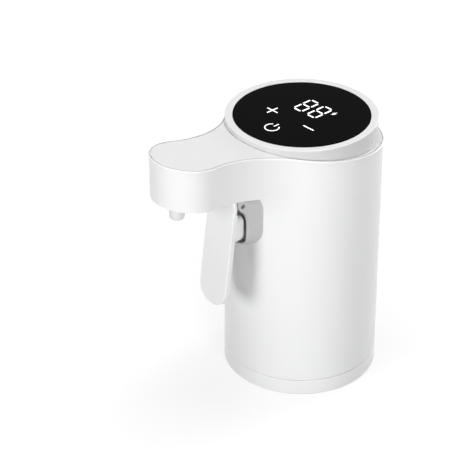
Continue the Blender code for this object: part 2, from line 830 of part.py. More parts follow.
def build_battery(parent, sleeve, plastic, red):
    """One round cell in its cradle, and its lead to the main board."""
    centre = cradle("battery_cradle", cell_radius + gap, cell_angle, cell_cradle_height, parent, plastic)
    low = seat_height
    high = low + cell_length
    shoulder = high - cell_rim
    half = cell_rim / 2
    profile = [(0.0, low), (cell_radius - half, low), (cell_radius, low + half), (cell_radius, shoulder - half)]
    profile += [(cell_radius - half, shoulder), (cell_button, shoulder), (cell_button, high), (0.0, high)]
    to_object("battery_cell", turned(profile, tube_steps, centre=centre), parent, sleeve, (*centre, low))
    board_end = (lead_spread, board_front - gap, board_top - lead_drop)
    lead("battery_lead", (*centre, high + gap), (0, 0, 1), board_end, (0, 1, 0), lead_radius, red, parent)


def build_pump(parent, steel, plastic, dark, red):
    """Motor in its cradle, the pump's head on top of it, and the cam that the shaft turns."""
    centre = cradle("pump_cradle", motor_radius + gap, pump_angle, pump_cradle_height, parent, plastic)
    low = seat_height
    high = low + motor_length
    collar = high + motor_collar
    profile = [(0.0, low), (motor_radius - motor_chamfer, low), (motor_radius, low + motor_chamfer)]
    profile += [(motor_radius, high), (motor_collar_radius, high), (motor_collar_radius, collar), (0.0, collar)]
    motor = to_object("pump_motor", turned(profile, tube_steps, centre=centre), parent, steel, (*centre, low))
    seat_low = collar - shaft_seat
    cut(motor, rod(shaft_radius + shaft_fit, seat_low, collar + overrun, centre, small_steps), "shaft_seat")

    head_low = high + gap
    head_high = head_low + pump_length
    roof = head_low + pump_cavity_depth
    profile = [(0.0, head_high), (pump_radius - pump_chamfer, head_high), (pump_radius, head_high - pump_chamfer)]
    profile += [(pump_radius, head_low), (pump_cavity_radius, head_low), (pump_cavity_radius, roof), (0.0, roof)]
    head = to_object("pump_head", turned(profile, tube_steps, centre=centre), parent, plastic, (*centre, head_low))
    inward = 1 - port_offset / Vector(centre).length
    port = (centre[0] * inward, centre[1] * inward)
    port_top = head_high + port_length
    join(head, rod(port_radius, head_high - pump_chamfer, port_top, port), "port")
    cut(head, rod(port_bore, roof - overrun, port_top + overrun, port, screw_steps), "port_bore")

    axis = empty("motor_axis", parent, (*centre, collar))
    low_end = gap - shaft_seat
    top_end = cam_rise + cam_height + gap
    to_object("motor_shaft", rod(shaft_radius, low_end, top_end, steps=small_steps), axis, steel)
    cam = to_object("pump_cam", rod(cam_radius, cam_rise, cam_rise + cam_height, (cam_throw, 0.0)), axis, dark)
    hole = rod(shaft_radius + shaft_fit, cam_rise - overrun, top_end + overrun, steps=small_steps)
    cut(cam, hole, "shaft_hole")

    start = (centre[0], centre[1] + motor_radius + gap, high - lead_stub)
    board_end = (-lead_spread, board_front - gap, board_top - lead_drop)
    lead("pump_lead", start, (0, 1, 0), board_end, (0, 1, 0), lead_radius, red, parent)
    return port, port_top


def build_air_line(parent, plastic, silicone, port, port_top):
    """Check valve on the air pipe, and the hose that arches over to it from the pump."""
    low = pipe_top + gap
    high = low + valve_length
    body_low = low + valve_neck_length
    body_high = high - valve_neck_length
    centre = (0.0, pipe_offset)
    profile = [(0.0, low), (valve_neck, low), (valve_neck, body_low), (valve_radius, body_low)]
    profile += [(valve_radius, body_high), (valve_neck, body_high), (valve_neck, high), (0.0, high)]
    to_object("check_valve", turned(profile, small_steps, centre=centre), parent, plastic, (*centre, low))

    start = Vector((*port, port_top + gap))
    end = Vector((*centre, high + gap))
    fall = start.z - end.z
    route = [start]
    for across, up in air_rise_shares:
        spot = start.lerp(end, across)
        route.append(Vector((spot.x, spot.y, start.z + air_arch * up)))
    for down in air_fall_shares:
        route.append(Vector((end.x, end.y, start.z - fall * down)))
    route.append(end)
    strand("air_tube", smooth(route), air_hose_radius, silicone, parent)


def build_wine_line(parent, silicone, nozzle_top):
    """Hose from the wine pipe up the body, along the arm and down to the nozzle."""
    y = -pipe_offset
    low = pipe_top + gap
    turn = pi / 2 - head_tilt
    entry_y = y - hose_bend * (1 - cos(turn))
    bend_z = head_at(entry_y, arm_depth * hose_drop_share) - hose_bend * sin(turn)
    route = [(0.0, y, low)]
    route += [(0.0, y, low + (bend_z - low) * share) for share in wine_rise_shares]
    route += [(0.0, b, c) for b, c in arc((y - hose_bend, bend_z), hose_bend, 0.0, turn, bend_steps)]
    for along, down in wine_run_shares:
        spot = entry_y + (nozzle_y - entry_y) * along
        route.append((0.0, spot, head_at(spot, arm_depth * down)))
    end = nozzle_top + gap
    route += [(0.0, nozzle_y, end + hose_radius), (0.0, nozzle_y, end)]
    strand("wine_tube", smooth(route), hose_radius, silicone, parent)


def build_boards(parent, fibre, steel, silicone):
    """Upright main board, the charging inlet on its back and the cable to the display."""
    low = chassis_top + gap
    plate = box((-board_side, board_front, low), (board_side, board_chord, board_top))
    board = to_object("main_board", plate, parent, fibre)
    middle = (low + board_top) / 2
    half = chip_size / 2
    chip_low = (-half, board_front - chip_height, middle - half)
    chip_high = (half, board_front + chip_height / 2, middle + half)
    join(board, box(chip_low, chip_high), "chip")
    for number, x in enumerate(post_places, 1):
        hole = rod(screw_radius + screw_fit, board_front - overrun, board_chord + overrun, steps=screw_steps)
        cut(board, lying_along_y(hole, x, board_screw_z), "screw_hole_%d" % number)

    mouth = body_radius - gap
    outline = rounded_box(inlet_width, inlet_height, inlet_height / 2 - merge)
    shell = lying_along_y(prism(outline, board_chord + gap, mouth), 0.0, inlet_z)
    inlet = to_object("charge_port", shell, parent, steel, (0.0, board_chord, inlet_z))
    height = inlet_height - 2 * inlet_wall
    outline = rounded_box(inlet_width - 2 * inlet_wall, height, height / 2 - merge)
    cut(inlet, lying_along_y(prism(outline, mouth - inlet_depth, mouth + overrun), 0.0, inlet_z), "mouth")
    low = (-inlet_tongue_width / 2, mouth - inlet_depth - inlet_tongue, inlet_z - inlet_tongue / 2)
    high = (inlet_tongue_width / 2, mouth - inlet_tongue, inlet_z + inlet_tongue / 2)
    join(inlet, box(low, high), "tongue")

    start = (0.0, (board_front + board_chord) / 2, board_top + gap)
    end = (0.0, pod_y + cable_place, display_board_low - gap)
    lead("display_cable", start, (0, 0, 1), end, (0, 0, 1), cable_radius, silicone, parent)


def build_pod(parent, plastic, glass, fibre, dark, steel):
    """Ring with a level top on the sloping head, the round window and what lies under it."""
    centre = (0.0, pod_y)
    counterbore = window_radius + gap
    half = pod_round / 2
    ring = [(pod_radius - pod_round, pod_top), (pod_radius, pod_top - pod_round)]
    seat = [(pod_foot_radius, -gap), (pod_spigot, -gap)]
    seat += [(pod_spigot, pod_spigot_depth), (pod_bore, pod_spigot_depth)]
    inside = [(pod_bore, ledge_bottom), (window_ledge, ledge_bottom), (window_ledge, ledge_top)]
    inside += [(counterbore, ledge_top), (counterbore, pod_top - half), (counterbore + half, pod_top)]
    loops = [at_height(circle(radius, round_steps, centre), z) for radius, z in ring]
    loops += [below_head(circle(radius, round_steps, centre), drop) for radius, drop in seat]
    loops += [at_height(circle(radius, round_steps, centre), z) for radius, z in inside]
    bezel = to_object("display_bezel", loft(loops, closed=True), parent, plastic, (*centre, pod_top))
    for number, (x, y) in enumerate(bezel_screw_places, 1):
        low = head_at(y, pod_spigot_depth)
        hole = rod(bezel_screw_shank + screw_fit, low - overrun, low + bezel_screw_length, (x, y), screw_steps)
        cut(bezel, hole, "screw_hole_%d" % number)

    profile = [(0.0, window_bottom), (window_radius, window_bottom), (window_radius, window_top - window_recess)]
    profile += [(window_radius - window_recess, window_top), (0.0, window_top)]
    window = turned(profile, round_steps, centre=centre)
    to_object("display_window", window, parent, glass, (*centre, window_bottom))
    board = rod(display_board_radius, display_board_low, display_board_top, centre, round_steps)
    to_object("display_board", board, parent, fibre, (*centre, display_board_low))

    low = display_board_top + gap
    high = window_bottom - gap
    middle = pod_y + window_radius * digit_share
    outline = [(x, y + middle) for x, y in rounded_box(digit_width, digit_depth, digit_corner)]
    to_object("digit_module", prism(outline, low, high), parent, dark, (0.0, middle, low))
    pitch = (high - low - 2 * key_wire) / key_turns
    points = coil(key_radius, pitch, key_turns)
    print("touch springs: least gap between turns %.2f mm" % (least_gap(points, key_wire) / mm))
    keys = (("plus", -key_side_share, key_side_ahead_share), ("minus", key_side_share, key_side_ahead_share),
            ("power", 0.0, key_power_ahead_share))
    for label, aside, ahead in keys:
        spot = (window_radius * aside, pod_y - window_radius * ahead, low + key_wire)
        strand("touch_spring_" + label, points, key_wire, steel, parent, spot, resolution=1)


def build_nozzle(parent, plastic, rubber):
    """Outlet through the arm's floor, on a wedge that seals the sloping floor to its level flange."""
    centre = (0.0, nozzle_y)
    flange_low = floor_at(nozzle_y - nozzle_flange_radius) + gap + seal_thickness + gap
    flange_high = flange_low + nozzle_flange
    top = flange_high + nozzle_stub
    end = under_at(nozzle_y) - nozzle_drop
    half = nozzle_round / 2
    profile = [(nozzle_bore, end + half), (nozzle_bore + half, end)]
    profile += arc((nozzle_radius - nozzle_round, end + nozzle_round), nozzle_round, -pi / 2, 0.0, corner_steps)
    profile += [(nozzle_radius, flange_low), (nozzle_flange_radius, flange_low)]
    profile += [(nozzle_flange_radius, flange_high), (hose_radius, flange_high), (hose_radius, top)]
    profile += [(nozzle_bore, top)]
    to_object("nozzle", turned(profile, small_steps, ring=True, centre=centre), parent, plastic, (*centre, end))

    inner = circle(nozzle_radius + gap, small_steps, centre)
    outer = circle(nozzle_flange_radius, small_steps, centre)
    low = arm_depth - arm_floor - gap
    high = flange_low - gap
    loops = [below_head(inner, low), below_head(outer, low), at_height(outer, high), at_height(inner, high)]
    to_object("nozzle_seal", loft(loops, closed=True), parent, rubber, (*centre, high))
    return top


def build_bracket(parent, plastic):
    """Rounded cup on the body that the lever's pusher enters, with two ears for the hinge pin."""
    rim_width = bracket_width - 2 * bracket_draft
    rim_height = bracket_height - 2 * bracket_draft
    rim_corner = bracket_corner - bracket_draft
    foot = rounded_box(bracket_width, bracket_height, bracket_corner)
    rim = rounded_box(rim_width, rim_height, rim_corner)
    lip = rounded_box(rim_width - 2 * bracket_edge, rim_height - 2 * bracket_edge, rim_corner - bracket_edge)
    rows = ((foot, wall - body_radius), (foot, -body_radius), (rim, bracket_front + bracket_edge))
    loops = [[(x, y, bracket_middle + z) for x, z in outline] for outline, y in rows + ((lip, bracket_front),)]
    bracket = to_object("lever_bracket", loft(loops), parent, plastic, (0.0, bracket_front, bracket_middle))

    side = [(-body_radius, ear_foot), (bracket_front - gap, ear_foot), (ear_neck, ear_low)]
    side += [(ear_front, ear_low + ear_chamfer), (ear_front, ear_top - ear_chamfer)]
    side += [(ear_front + ear_chamfer, ear_top), (-body_radius, ear_top)]
    ear_inner = ear_outer - ear_width
    for label, low, high in (("left", -ear_outer, -ear_inner), ("right", ear_inner, ear_outer)):
        join(bracket, loft([[(x, y, z) for y, z in side] for x in (low, high)]), "ear_" + label)

    recess_low = pusher_low - recess_swing
    recess_high = pusher_high + recess_swing
    outline = rounded_box(2 * (pusher_half + recess_play), recess_high - recess_low, pusher_corner)
    recess = prism(outline, bracket_front - overrun, bracket_front + recess_depth)
    cut(bracket, lying_along_y(recess, 0.0, (recess_low + recess_high) / 2), "recess")
    cut(bracket, rod(-bracket_back, 0.0, head_height, steps=round_steps), "body_face")
    hole = rod(plunger_hole, bracket_front - overrun, bracket_back + overrun)
    cut(bracket, lying_along_y(hole, 0.0, plunger_height), "plunger_hole")
    hole = rod(pin_radius + pin_fit, -ear_outer - overrun, ear_outer + overrun)
    cut(bracket, lying_along_x(hole, -hinge_reach, hinge_height), "pin_hole")
    for label, z in bracket_screw_places:
        hole = rod(screw_radius + screw_fit, -upper_inner - bracket_screw_length - gap, bracket_back + overrun,
                   steps=screw_steps)
        cut(bracket, lying_along_y(hole, 0.0, z), "screw_hole_" + label)


def lever_reach(z):
    """Reach of the lever's front face at a height. It leans outward to its foot."""
    return body_radius + lever_depth + (bracket_middle - z) * tan(lever_lean)


def build_lever(parent, plastic):
    """Flat paddle on the hinge pin, with the pusher block and a knuckle on its back."""
    axis = empty("lever_axis", parent, (0.0, -hinge_reach, hinge_height))
    middle = (lever_top + lever_bottom) / 2
    half_height = (lever_top - lever_bottom) / 2 / cos(lever_lean)
    half = lever_width / 2
    foot = half - lever_corner
    head = half - lever_top_corner
    outline = arc((foot, lever_corner - half_height), lever_corner, -pi / 2, 0.0, 2 * corner_steps)
    outline += arc((head, half_height - lever_top_corner), lever_top_corner, 0.0, pi / 2, corner_steps)
    outline += arc((-head, half_height - lever_top_corner), lever_top_corner, pi / 2, pi, corner_steps)
    outline += arc((-foot, lever_corner - half_height), lever_corner, pi, 3 * pi / 2, 2 * corner_steps)
    inset_x = 1 - lever_edge / half
    inset_z = 1 - lever_edge / half_height
    inset = [(x * inset_x, z * inset_z) for x, z in outline]
    rows = ((inset, 0.0), (outline, lever_edge), (outline, lever_thickness - lever_edge), (inset, lever_thickness))
    lean = Matrix.Translation((0.0, hinge_reach - lever_reach(middle), middle - hinge_height))
    lean = lean @ Matrix.Rotation(-lever_lean, 4, "X")
    plate = loft([[(x, y, z) for x, z in points] for points, y in rows])
    plate.transform(lean)
    lever = to_object("lever", plate, axis, plastic)

    pocket_in = knuckle_half + pocket_play
    pocket_low = (ear_low - pocket_play - middle) / cos(lever_lean)
    for label, low, high in (("left", -half - overrun, -pocket_in), ("right", pocket_in, half + overrun)):
        pocket = box((low, lever_thickness - lever_pocket, pocket_low),
                     (high, lever_thickness + overrun, half_height + overrun))
        pocket.transform(lean)
        cut(lever, pocket, "pocket_" + label)

    near = hinge_reach - pusher_reach
    far = hinge_reach - lever_reach(pusher_high) + lever_thickness / 2
    height = pusher_high - pusher_low
    rise = (pusher_high + pusher_low) / 2 - hinge_height
    block = rounded_box(2 * pusher_half, height, pusher_corner)
    soft = rounded_box(2 * (pusher_half - pusher_edge), height - 2 * pusher_edge, pusher_corner - pusher_edge)
    rows = ((block, far), (block, near - pusher_edge), (soft, near))
    join(lever, loft([[(x, y, rise + z) for x, z in points] for points, y in rows]), "pusher")

    join(lever, lying_along_x(rod(knuckle_radius, -knuckle_half, knuckle_half), 0.0, 0.0), "knuckle")
    web_far = hinge_reach - lever_reach(hinge_height) + lever_thickness / 2
    web = box((-knuckle_half, web_far, -knuckle_radius), (knuckle_half, -pin_radius, pin_radius))
    join(lever, web, "knuckle_web")
    hole = rod(pin_radius + pin_fit, -knuckle_half - overrun, knuckle_half + overrun)
    cut(lever, lying_along_x(hole, 0.0, 0.0), "pin_hole")


def build_hinge(parent, steel):
    """Headed pin through ears and knuckle, and the spring round it that pushes the lever's foot out."""
    end = ear_outer + gap
    profile = [(0.0, -end - pin_head), (pin_head_radius, -end - pin_head), (pin_head_radius, -end)]
    profile += [(pin_radius, -end), (pin_radius, end), (0.0, end)]
    pin = lying_along_x(turned(profile, small_steps), -hinge_reach, hinge_height)
    to_object("hinge_pin", pin, parent, steel, (0.0, -hinge_reach, hinge_height))

    curls = coil(spring_radius, spring_pitch, spring_turns, pi / 2)
    print("lever spring: least gap between turns %.2f mm" % (least_gap(curls, spring_wire) / mm))
    leg = Vector((spring_leg, 0.0, 0.0))
    turn = Matrix.Rotation(pi / 2, 3, "Y")
    points = [turn @ point for point in [curls[0] + leg] + curls + [curls[-1] + leg]]
    strand("lever_spring", points, spring_wire, steel, parent, (spring_start, -hinge_reach, hinge_height), 1)


def build_switch(parent, dark, plastic, red):
    """Small switch inside the front wall, and the plunger that reaches into the bracket's recess."""
    low = (-switch_width / 2, switch_face, plunger_height - switch_height / 2)
    high = (switch_width / 2, switch_face + switch_depth, plunger_height + switch_height / 2)
    body = to_object("micro_switch", box(low, high), parent, dark, (0.0, switch_face, plunger_height))
    depth = gap + switch_travel + gap
    hole = rod(plunger_hole, switch_face - overrun, switch_face + depth)
    cut(body, lying_along_y(hole, 0.0, plunger_height), "plunger_hole")

    tip = gap - pusher_reach
    axis = empty("plunger_axis", parent, (0.0, tip, plunger_height))
    length = switch_face + gap - tip
    profile = [(0.0, 0.0), (plunger_radius - plunger_edge, 0.0), (plunger_radius, plunger_edge)]
    profile += [(plunger_radius, length), (0.0, length)]
    to_object("switch_plunger", lying_along_y(turned(profile, small_steps), 0.0, 0.0), axis, plastic)

    start = (switch_lead_place, high[1] + gap, plunger_height)
    end = (switch_lead_place, board_front - gap, board_top - lead_stub)
    crown = ((hose_radius + cell_near) / 2, (start[1] + end[1]) / 2, start[2] + lead_lift)
    route = [start, (start[0], start[1] + lead_stub, start[2]), crown]
    route += [(end[0], end[1] - lead_stub, end[2]), end]
    strand("switch_lead", smooth(route), lead_radius, red, parent, resolution=1)


def screw(name, place, heading, length, parent, steel, shank=screw_radius, head=screw_head_radius):
    """Pan head screw. Its head's underside is at place, and its shank runs along heading."""
    half = screw_head / 2
    profile = [(0.0, -screw_head), (head - half, -screw_head), (head, -half), (head, 0.0), (shank, 0.0)]
    profile += [(shank, length), (0.0, length)]
    form = turned(profile, screw_steps)
    form.transform(Vector((0.0, 0.0, 1.0)).rotation_difference(Vector(heading)).to_matrix().to_4x4())
    made = to_object(name, form, parent, steel)
    made.location = place


def build_screws(parent, steel):
    up = (0.0, 0.0, 1.0)
    forward = (0.0, -1.0, 0.0)
    for number, (x, y) in enumerate(base_screw_places, 1):
        place = (x, y, screw_recess + screw_head - gap)
        screw("base_screw_%d" % number, place, up, base_screw_length, parent, steel)
    seat = gap - sqrt(upper_inner ** 2 - screw_head_radius ** 2)
    for label, z in bracket_screw_places:
        screw("bracket_screw_" + label, (0.0, seat, z), forward, bracket_screw_length, parent, steel)
    for number, (x, y) in enumerate(bezel_screw_places, 1):
        place = (x, y, head_at(y + bezel_screw_head, collar_low) - gap)
        screw("bezel_screw_%d" % number, place, up, bezel_screw_length, parent, steel,
              bezel_screw_shank, bezel_screw_head)
    for number, x in enumerate(post_places, 1):
        place = (x, board_chord + gap, board_screw_z)
        screw("board_screw_%d" % number, place, forward, board_screw_length, parent, steel)


def main():
    for old in list(bpy.data.objects):
        bpy.data.objects.remove(old, do_unlink=True)
    white = finish("gloss_white", (0.86, 0.86, 0.87), 0.25)
    grey = finish("inner_plastic", (0.55, 0.56, 0.58), 0.5)
    glass = finish("black_glass", (0.012, 0.012, 0.013), 0.08)
    dark = finish("dark_plastic", (0.06, 0.06, 0.065), 0.5)
    steel = finish("steel", (0.62, 0.62, 0.63), 0.3, 1.0)
    silicone = finish("clear_silicone", (0.75, 0.74, 0.7), 0.5)
    rubber = finish("stopper_silicone", (0.32, 0.33, 0.34), 0.6)
    fibre = finish("board_green", (0.03, 0.16, 0.08), 0.45)
    sleeve = finish("cell_sleeve", (0.04, 0.2, 0.45), 0.4)
    red = finish("lead_red", (0.45, 0.03, 0.03), 0.5)

    axis = empty("body_axis", None, (0.0, axis_y, 0.0))
    build_housing(axis, white)
    build_cover(axis, white)
    build_base(axis, white)
    build_socket(axis, white)
    build_stopper(axis, rubber, steel)
    build_chassis(axis, grey)
    build_battery(axis, sleeve, grey, red)
    port, port_top = build_pump(axis, steel, grey, dark, red)
    build_air_line(axis, grey, silicone, port, port_top)
    build_boards(axis, fibre, steel, silicone)
    build_pod(axis, white, glass, fibre, dark, steel)
    nozzle_top = build_nozzle(axis, white, rubber)
    build_wine_line(axis, silicone, nozzle_top)
    build_bracket(axis, white)
    build_lever(axis, white)
    build_hinge(axis, steel)
    build_switch(axis, dark, grey, red)
    build_screws(axis, steel)


main()
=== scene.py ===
# %% [markdown]
# # Automatic dispenser with a touch display
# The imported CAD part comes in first, as a frame that never moves. Everything after it is looks: finer
# pieces that stand for the CAD nodes, their finishes, a small studio and a camera.

from math import atan2, cos, pi, radians, sin, sqrt, tan

import bmesh
import bpy
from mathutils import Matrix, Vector


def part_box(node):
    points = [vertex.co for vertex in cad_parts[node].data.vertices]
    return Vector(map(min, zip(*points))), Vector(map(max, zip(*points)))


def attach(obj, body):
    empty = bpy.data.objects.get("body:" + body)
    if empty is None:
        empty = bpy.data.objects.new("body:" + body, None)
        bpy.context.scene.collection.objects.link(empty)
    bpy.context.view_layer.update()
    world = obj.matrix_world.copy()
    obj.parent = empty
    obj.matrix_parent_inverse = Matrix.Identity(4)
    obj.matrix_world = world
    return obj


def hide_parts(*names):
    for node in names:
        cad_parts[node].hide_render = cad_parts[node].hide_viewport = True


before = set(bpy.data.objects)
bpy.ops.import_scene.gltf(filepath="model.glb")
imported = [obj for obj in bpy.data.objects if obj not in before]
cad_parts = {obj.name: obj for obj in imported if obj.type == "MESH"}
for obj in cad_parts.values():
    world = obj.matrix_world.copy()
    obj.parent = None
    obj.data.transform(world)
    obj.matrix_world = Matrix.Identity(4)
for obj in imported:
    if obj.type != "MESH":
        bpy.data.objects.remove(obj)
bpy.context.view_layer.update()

# %% [markdown]
# ## Working space
# The object is small, so it is modelled in millimetres round the body's own axis, where its numbers are
# easy to read and where Blender's merge distances suit it. Only when a piece is finished does it go to
# the frame's metres. The axis is read from the base ring's box.

# %% Where the body's axis stands
mm = 0.001
ring_low, ring_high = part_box("base_cover")
axis_y = (ring_low.y + ring_high.y) / 2
round_sides = 160
print("body axis at y = %.2f mm" % (axis_y / mm))

# %% [markdown]
# ## Hands
# An operator works on whatever is selected, so each tool below says first what it holds. Picking is done
# in code, by the place or the direction of an edge or a face, where a modeller would click.

# %% Hold and pick
def rest():
    """Go to object mode and let go of everything."""
    if bpy.context.object and bpy.context.object.mode != "OBJECT":
        bpy.ops.object.mode_set(mode="OBJECT")
    bpy.ops.object.select_all(action="DESELECT")


def hold(*pieces):
    """Select these pieces alone. The first one is active."""
    rest()
    for piece in pieces:
        piece.select_set(True)
    bpy.context.view_layer.objects.active = pieces[0]
    return pieces[0]


def shape(piece, kind="VERT"):
    """Open a piece in edit mode, with all of it picked."""
    hold(piece)
    bpy.ops.object.mode_set(mode="EDIT")
    bpy.ops.mesh.select_mode(type=kind)
    bpy.ops.mesh.select_all(action="SELECT")


def middle(item):
    """The middle of an edge or a face."""
    return sum((vert.co for vert in item.verts), Vector()) / len(item.verts)


def pick(kind, test):
    """In edit mode, pick the vertices, edges or faces that pass a test."""
    bpy.ops.mesh.select_mode(type=kind)
    bpy.ops.mesh.select_all(action="DESELECT")
    mesh = bpy.context.object.data
    form = bmesh.from_edit_mesh(mesh)
    items = {"VERT": form.verts, "EDGE": form.edges, "FACE": form.faces}[kind]
    count = 0
    for item in items:
        if test(item):
            item.select_set(True)
            count += 1
    bmesh.update_edit_mesh(mesh)
    return count


def tidy(piece):
    """Close seams and poles, and turn the faces outward."""
    shape(piece)
    bpy.ops.mesh.remove_doubles(threshold=0.004)
    bpy.ops.mesh.normals_make_consistent(inside=False)
    rest()


# %% [markdown]
# ## Drawing and turning
# Most parts of the dispenser are round, as moulded and turned parts are. A single vertex is drawn from
# point to point, or swung round a centre, and the line that it leaves is spun or extruded into a skin.
# The spin operator counts its angle clockwise, so a minus sign turns it the usual way.

# %% Draw a line, swing it, spin it
def vertex(place):
    """A new mesh that is one picked vertex, in edit mode."""
    rest()
    bpy.ops.mesh.primitive_plane_add(size=1.0, location=(0, 0, 0))
    bpy.ops.object.mode_set(mode="EDIT")
    bpy.ops.mesh.select_mode(type="VERT")
    bpy.ops.mesh.select_all(action="SELECT")
    bpy.ops.mesh.merge(type="CENTER")
    bpy.ops.transform.translate(value=place)
    return bpy.context.object


def extrude(*step):
    bpy.ops.mesh.extrude_region_move(TRANSFORM_OT_translate={"value": step})


def swing(centre, turn, steps):
    """Carry the picked vertex round an upright axis, and leave an arc behind it."""
    bpy.ops.mesh.spin(steps=steps, angle=-turn, center=centre, axis=(0, 0, 1))


def turned(name, profile, sides=round_sides, place=(0.0, 0.0)):
    """Draw a profile of (radius, height) points and spin it round an upright axis."""
    (radius, height), rest_of_it = profile[0], profile[1:]
    piece = vertex((radius, 0, height))
    for next_radius, next_height in rest_of_it:
        extrude(next_radius - radius, 0, next_height - height)
        radius, height = next_radius, next_height
    bpy.ops.mesh.select_all(action="SELECT")
    bpy.ops.mesh.spin(steps=sides, angle=2 * pi, center=(0, 0, 0), axis=(0, 0, 1))
    tidy(piece)
    move(piece, (place[0], place[1], 0.0))
    piece.name = name
    return piece


def move(piece, step=(0, 0, 0), turn=(0, 0, 0)):
    """Turn a piece round the origin, then move it, and leave that in its mesh."""
    hold(piece)
    piece.rotation_euler = turn
    piece.location = step
    bpy.ops.object.transform_apply(location=True, rotation=True, scale=True)
    return piece


# %% [markdown]
# ## Changing a solid
# Holes and joints are Booleans, applied at once. Moulded plastic has no knife edges: every visible edge
# gets a small round, which is what catches the light. Weighted normals then keep the flats flat.

# %% Carve, join, soften
def change(piece, kind, **settings):
    """Add a modifier and apply it."""
    hold(piece)
    bpy.ops.object.modifier_add(type=kind)
    step = piece.modifiers[-1]
    for name, value in settings.items():
        setattr(step, name, value)
    bpy.ops.object.modifier_apply(modifier=step.name)


def carve(piece, *tools, operation="DIFFERENCE"):
    """Take tools out of a piece, or add them to it, and throw them away."""
    for tool in tools:
        change(piece, "BOOLEAN", object=tool, operation=operation, solver="EXACT")
        bpy.data.objects.remove(tool)


def weld(piece, *others):
    carve(piece, *others, operation="UNION")


def soften(piece, width, where=None, steps=3, sharper=30.0):
    """Round the edges that are sharper than so many degrees and whose middle passes a test."""
    shape(piece, "EDGE")

    def wanted(edge):
        if len(edge.link_faces) != 2 or edge.calc_face_angle(0.0) < radians(sharper):
            return False
        return where is None or where(middle(edge))

    count = pick("EDGE", wanted)
    if count:
        bpy.ops.mesh.bevel(offset=width, segments=steps, affect="EDGES", clamp_overlap=True)
    rest()
    return count


def block(name, size, place, turn=(0, 0, 0)):
    """A box by its size and its centre."""
    rest()
    bpy.ops.mesh.primitive_cube_add(size=1.0)
    piece = bpy.context.object
    piece.scale = size
    bpy.ops.object.transform_apply(scale=True)
    piece.name = name
    return move(piece, place, turn)


def rod(name, radius, length, place, along="Z", sides=48):
    """A cylinder by its centre, lying along an axis."""
    rest()
    bpy.ops.mesh.primitive_cylinder_add(vertices=sides, radius=radius, depth=length)
    piece = bpy.context.object
    piece.name = name
    turns = {"X": (0, pi / 2, 0), "Y": (pi / 2, 0, 0), "Z": (0, 0, 0)}
    return move(piece, place, turns[along])


def finish_piece(piece, body, finish, slot, *nodes):
    """Smooth the shading, bring the piece to the frame's metres and let it ride on its body."""
    hold(piece)
    bpy.ops.object.shade_smooth_by_angle(angle=radians(32))
    change(piece, "WEIGHTED_NORMAL", keep_sharp=True)
    hold(piece)
    piece.scale = (mm, mm, mm)
    piece.location = (0, axis_y, 0)
    bpy.ops.object.transform_apply(location=True, rotation=True, scale=True)
    piece.data.materials.clear()
    piece.data.materials.append(finish)
    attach(piece, body)
    if nodes:
        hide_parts(*nodes)
    print("%-16s %6d faces" % (piece.name, len(piece.data.polygons)))
    return piece


# %% [markdown]
# ## Writing a finish as sums
# A shader is a graph of small sums. Wrapping a socket in a class lets those sums be written as Python
# writes them, and one method makes every other node.

# %% Sockets and finishes
class Wave:
    """A number that varies over a surface."""

    def __init__(self, tree, socket):
        self.tree = tree
        self.socket = socket

    def sum(self, operation, first, second):
        node = self.tree.nodes.new("ShaderNodeMath")
        node.operation = operation
        for socket, value in zip(node.inputs, (first, second)):
            if isinstance(value, Wave):
                self.tree.links.new(value.socket, socket)
            else:
                socket.default_value = value
        return Wave(self.tree, node.outputs[0])

    def __add__(self, other):
        return self.sum("ADD", self, other)

    __radd__ = __add__

    def __sub__(self, other):
        return self.sum("SUBTRACT", self, other)

    def __rsub__(self, other):
        return self.sum("SUBTRACT", other, self)

    def __mul__(self, other):
        return self.sum("MULTIPLY", self, other)

    __rmul__ = __mul__

    def above(self, level):
        return self.sum("GREATER_THAN", self, level)

    def at_most(self, level):
        return self.sum("MINIMUM", self, level)

    def power(self, number):
        return self.sum("POWER", self, number)


